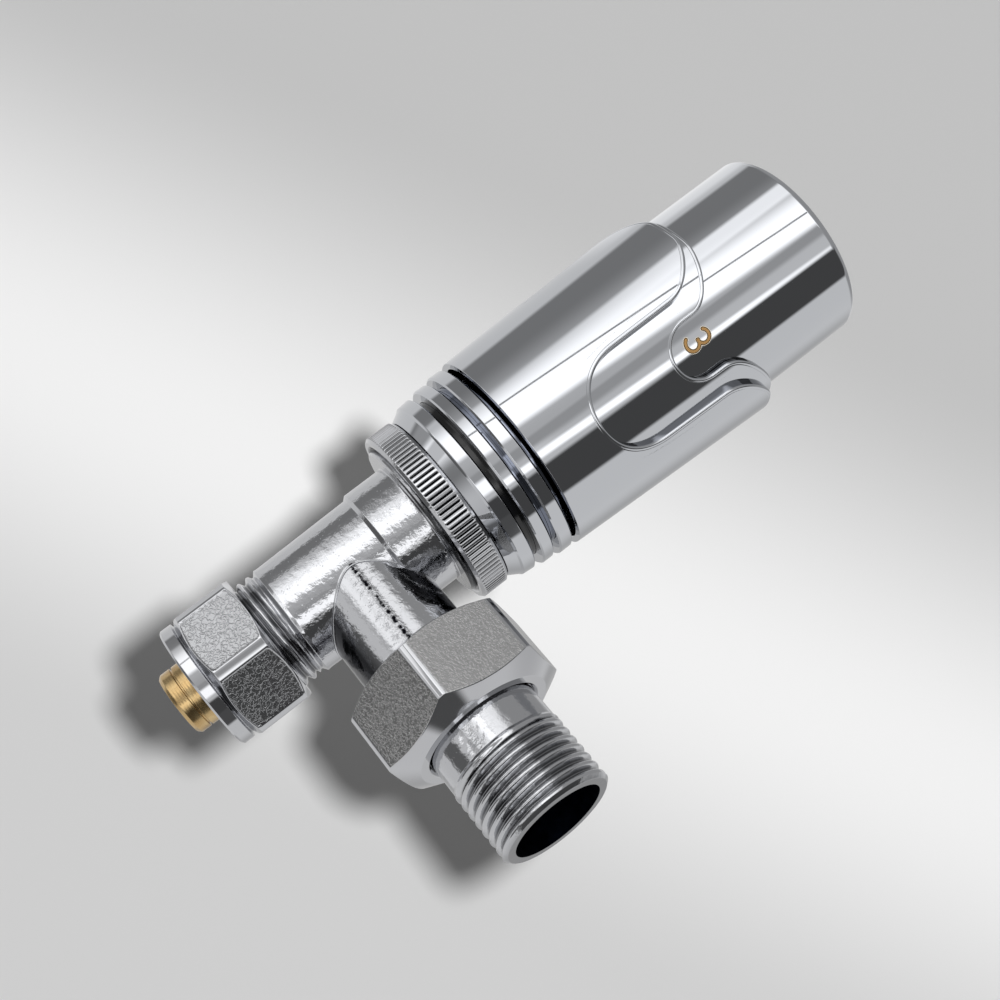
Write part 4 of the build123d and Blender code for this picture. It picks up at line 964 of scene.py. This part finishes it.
# What the chrome reflects: soft boxes, dark flags and the room between them, later ones over earlier ones.
# Each gives the azimuth of its middle line 12 degrees up, its reach to the left and how wide that edge fades,
# the same to the right, how far its middle shifts per degree of height, its lowest and highest part and how
# wide those edges fade, all in degrees, and how bright it looks in the plate
PANELS = {
    "floor shade behind": (-150, 22, 8, 60, 50, 0.0, -60, 60, 15, 0.15),
    "wall behind the left": (-100, 0, 52, 20, 40, 0.6, -60, 50, 15, 0.40),
    "right wall": (60, 56, 6, 55, 8, 0.0, -60, 60, 20, 0.46),
    "right wall, far end": (100, 10, 34, 12, 24, 0.0, -30, 22, 8, 0.28),
    "upper left wall": (152, 12, 14, 14, 14, 0.0, 19, 45, 4, 0.60),
    "ceiling": (0, 180, 1, 180, 1, 0.0, 45, 91, 20, 0.23),
    "under the table edge": (-125, 40, 10, 22, 10, 0.0, -38, -14, 14, 0.25),
    "low strip": (-118, 30, 12, 14, 10, 0.0, -46, -42, 5, 0.95),
    "low shade": (-140, 40, 20, 40, 20, 0.0, -91, -58, 14, 0.09),
    "wall beside the key, low": (-130, 12, 8, 13, 3, 0.0, -8, 1, 5, 0.45),
    "light under the table": (-109, 16, 8, 8, 3, 0.3, -24, -18, 12, 0.85),
    "light under the table, low part": (-112, 10, 6, 10, 4, 0.3, -52, -37, 5, 0.46),
    "top of the key soft box": (-113, 8, 6, 5, 6, 0.0, 20, 24, 18, 0.8),
    "key soft box": (-85, 12, 30, 7, 8, 1.1, -2, 24, 17, 1.08),
    "seam of the key soft box": (-99.7, 0.5, 0.9, 0.5, 0.9, 1.82, 5, 27, 3, 0.2),
    "gap beside the key": (-57, 3, 4, 3, 7, 0.4, -14, 40, 8, 0.26),
    "rail under the key": (-119.1, 0.9, 0.8, 0.9, 0.8, -0.22, -28, -5, 5, 0.3),
    "strip light": (-38.5, 1.6, 4, 1.6, 4, 0.95, -10, 18, 16, 1.1),
    "strip light, low part": (-43, 5, 6, 5, 5, 0.5, -30, 2, 7, 1.0),
    "black flag": (-11, 17, 5, 16, 5, 0.35, -35, 45, 20, 0.045),
    "black flag, low part": (0, 8, 4, 15, 6, 0.0, -30, 0, 6, 0.06),
}
PANEL_HEIGHT = 12  # where the panels' middle lines are given
SURROUND = 0.44
PLATE_SHARE = 0.57  # of the light that chrome plate gives back, which the brightnesses above leave out
DIFFUSE_FILL = 0.18
BEHIND = 0.72  # what the camera sees past the backdrop in other views


def surroundings():
    """World: a soft-lit room that shows in the chrome, and a plain weak fill for what isn't metal."""
    world = bpy.data.worlds.new("studio")
    bpy.context.scene.world = world
    world.use_nodes = True
    tree = world.node_tree
    tree.nodes.clear()
    way = add(tree, "TexCoord").outputs["Generated"]
    xyz = add(tree, "SeparateXYZ", {"Vector": way}).outputs
    azimuth = add(tree, "Math", {0: xyz["Y"], 1: xyz["X"]}, operation="ARCTAN2")
    elevation = add(tree, "Math", {0: xyz["Z"]}, operation="ARCSINE")
    light = add(tree, "Value").outputs["Value"]
    light.default_value = SURROUND / PLATE_SHARE
    for name, panel in PANELS.items():
        middle, left, left_fade, right, right_fade, lean, low, high, fade, brightness = panel
        above = add(tree, "Math", {0: elevation, 1: -radians(PANEL_HEIGHT)}, operation="ADD")
        line = add(tree, "Math", {0: above, 1: lean, 2: radians(middle)}, operation="MULTIPLY_ADD")
        beside = add(tree, "Math", {0: azimuth, 1: line}, operation="SUBTRACT")
        beside = add(tree, "Math", {0: beside, 1: -pi, 2: pi}, operation="WRAP")
        share = None
        for offset, start, end in ((beside, -left - left_fade, -left), (beside, right + right_fade, right),
                                   (elevation, low - fade, low), (elevation, high + fade, high)):
            ends = {"From Min": radians(start), "From Max": radians(end)}
            edge = add(tree, "MapRange", {"Value": offset, **ends}, interpolation_type="SMOOTHSTEP")
            share = edge if share is None else add(tree, "Math", {0: share, 1: edge}, operation="MULTIPLY")
        light = add(tree, "Mix", {"Factor": share, "A": light, "B": brightness / PLATE_SHARE}, label=name)
    ray = add(tree, "LightPath").outputs
    plain = add(tree, "Mix", {"Factor": ray["Is Camera Ray"], "A": DIFFUSE_FILL, "B": BEHIND})
    strength = add(tree, "Mix", {"Factor": ray["Is Glossy Ray"], "A": plain, "B": light})
    sky = add(tree, "Background", {"Color": linear("#FFFFFF"), "Strength": strength})
    add(tree, "OutputWorld", {"Surface": sky})


BACKDROP_AWAY = 900.0  # from the camera, in millimetres
BACKDROP_HALF = 320
GLOW_TURN = 24.2  # fall of the glow across the view, to the right, in degrees
LOW_PIECES = ("forged_body", "hexagon_of_inlet", "hexagon_of_union", "tail_pipe_threaded", "turned_nozzle",
              "knurled_ring", "cup_of_head")  # their shadow shows beside them in the photograph
LAMP_SHARE, FILL_SHARE = 0.97, 0.23  # light on the middle of the card from its lamp and from the room


def backdrop():
    """Pale card square to the view, with a soft glow across it that is painted light in its colour, and
    painted light that brightens it towards its corners where the lamp falls off. Its back is clear, so it
    hides no view."""
    middle = CAMERA_PLACE + CAMERA_AHEAD * BACKDROP_AWAY
    corners = [middle + (CAMERA_RIGHT * a + CAMERA_UP * b) * BACKDROP_HALF
               for a, b in ((-1, -1), (1, -1), (1, 1), (-1, 1))]
    mesh = bpy.data.meshes.new("backdrop_card")
    mesh.from_pydata([tuple(c * MM) for c in corners], [], [(0, 1, 2, 3)])
    card = in_scene("backdrop_card", mesh)
    material, tree, shader, place = finish("matt_white_card_with_painted_light", "#E2E1DF", 0.0, 0.8)
    # Painted light: a lighter band across the card
    down = -CAMERA_UP * cos(radians(GLOW_TURN)) - CAMERA_RIGHT * sin(radians(GLOW_TURN))
    run = add(tree, "VectorMath", {0: place, 1: down}, operation="DOT_PRODUCT").outputs["Value"]
    away = add(tree, "Math", {0: run, 1: middle @ down * MM}, operation="SUBTRACT")
    above = add(tree, "MapRange", {"Value": away, "From Min": -190 * MM, "From Max": 35 * MM, "To Min": 0.532,
                                   "To Max": 0.887}, interpolation_type="SMOOTHSTEP")
    below = add(tree, "MapRange", {"Value": away, "From Min": 238 * MM, "From Max": 42 * MM},
                interpolation_type="SMOOTHSTEP")
    glow = add(tree, "Mix", {"Factor": below, "A": 0.63, "B": above})
    # Painted light: brighter towards the corners, against the lamp's fall-off
    out = add(tree, "VectorMath", {0: place, 1: middle * MM}, operation="DISTANCE").outputs["Value"]
    slant = add(tree, "Math", {0: out, 1: 1 / (BACKDROP_AWAY * MM)}, operation="MULTIPLY")
    slant = add(tree, "Math", {0: slant, 1: slant, 2: 1.0}, operation="MULTIPLY_ADD")
    fall = add(tree, "Math", {0: slant, 1: -2.0}, operation="POWER")
    light = add(tree, "Math", {0: fall, 1: LAMP_SHARE, 2: FILL_SHARE}, operation="MULTIPLY_ADD")
    shade = add(tree, "Math", {0: glow, 1: light}, operation="DIVIDE")
    wire(tree, shader, {"Base Color": shade})
    side = add(tree, "NewGeometry").outputs["Backfacing"]
    both = add(tree, "MixShader", {0: side, 1: shader, 2: add(tree, "BsdfTransparent")})
    wire(tree, tree.nodes["Material Output"], {"Surface": both})
    mesh.materials.append(material)
    card.visible_glossy = False
    return card


def lamp(name, place, aim, size, energy):
    """Round soft lamp. The chrome doesn't show it, because the room round it holds the soft boxes."""
    data = bpy.data.lights.new(name, "AREA")
    data.shape = "DISK"
    data.size = size * MM
    data.energy = energy
    made = in_scene(name, data)
    made.location = place * MM
    made.rotation_euler = (place - aim).to_track_quat("Z", "Y").to_euler()
    made.visible_glossy = False
    return made


def lamps(card):
    """A lamp beside the camera throws the shadow on the card, and a large one lights what isn't metal."""
    beside = lamp("shadow_lamp", CAMERA_PLACE + CAMERA_RIGHT * 12.0 + CAMERA_UP * 5.4,
                  CAMERA_PLACE + CAMERA_AHEAD * BACKDROP_AWAY, size=9, energy=8.25)
    beside.light_linking.receiver_collection = bpy.data.collections.new("lit_by_shadow_lamp")
    beside.light_linking.receiver_collection.objects.link(card)
    beside.light_linking.blocker_collection = bpy.data.collections.new("throws_shadow_on_card")
    aim = Vector((0, 0, 70))
    way = (CAMERA_RIGHT * 9 + CAMERA_UP * 4.5 - CAMERA_AHEAD * 21).normalized()
    key = lamp("key_lamp", aim + way * 600, aim, size=260, energy=2.8)
    key.light_linking.receiver_collection = bpy.data.collections.new("lit_by_key_lamp")
    for piece in bpy.context.scene.objects:
        if piece.type == "MESH" and piece != card:
            key.light_linking.receiver_collection.objects.link(piece)
            if piece.name in LOW_PIECES:
                beside.light_linking.blocker_collection.objects.link(piece)


dial_cap()
grip()
trim_ring("lower_trim", "lower_trim_ring", LOWER_TRIM_FOOT, LOWER_TRIM_TOP, LOWER_TRIM_R)
trim_ring("upper_trim", "upper_trim_ring", UPPER_TRIM_FOOT, UPPER_TRIM_TOP, UPPER_TRIM_R)
base_cup()
head_core()
coupling_ring()
union_nut()
compression_nut()
tail_pipe()
valve_body()
pipe_nozzle()
numbers()
place_camera()
surroundings()
lamps(backdrop())
bpy.context.scene.view_settings.view_transform = "Standard"
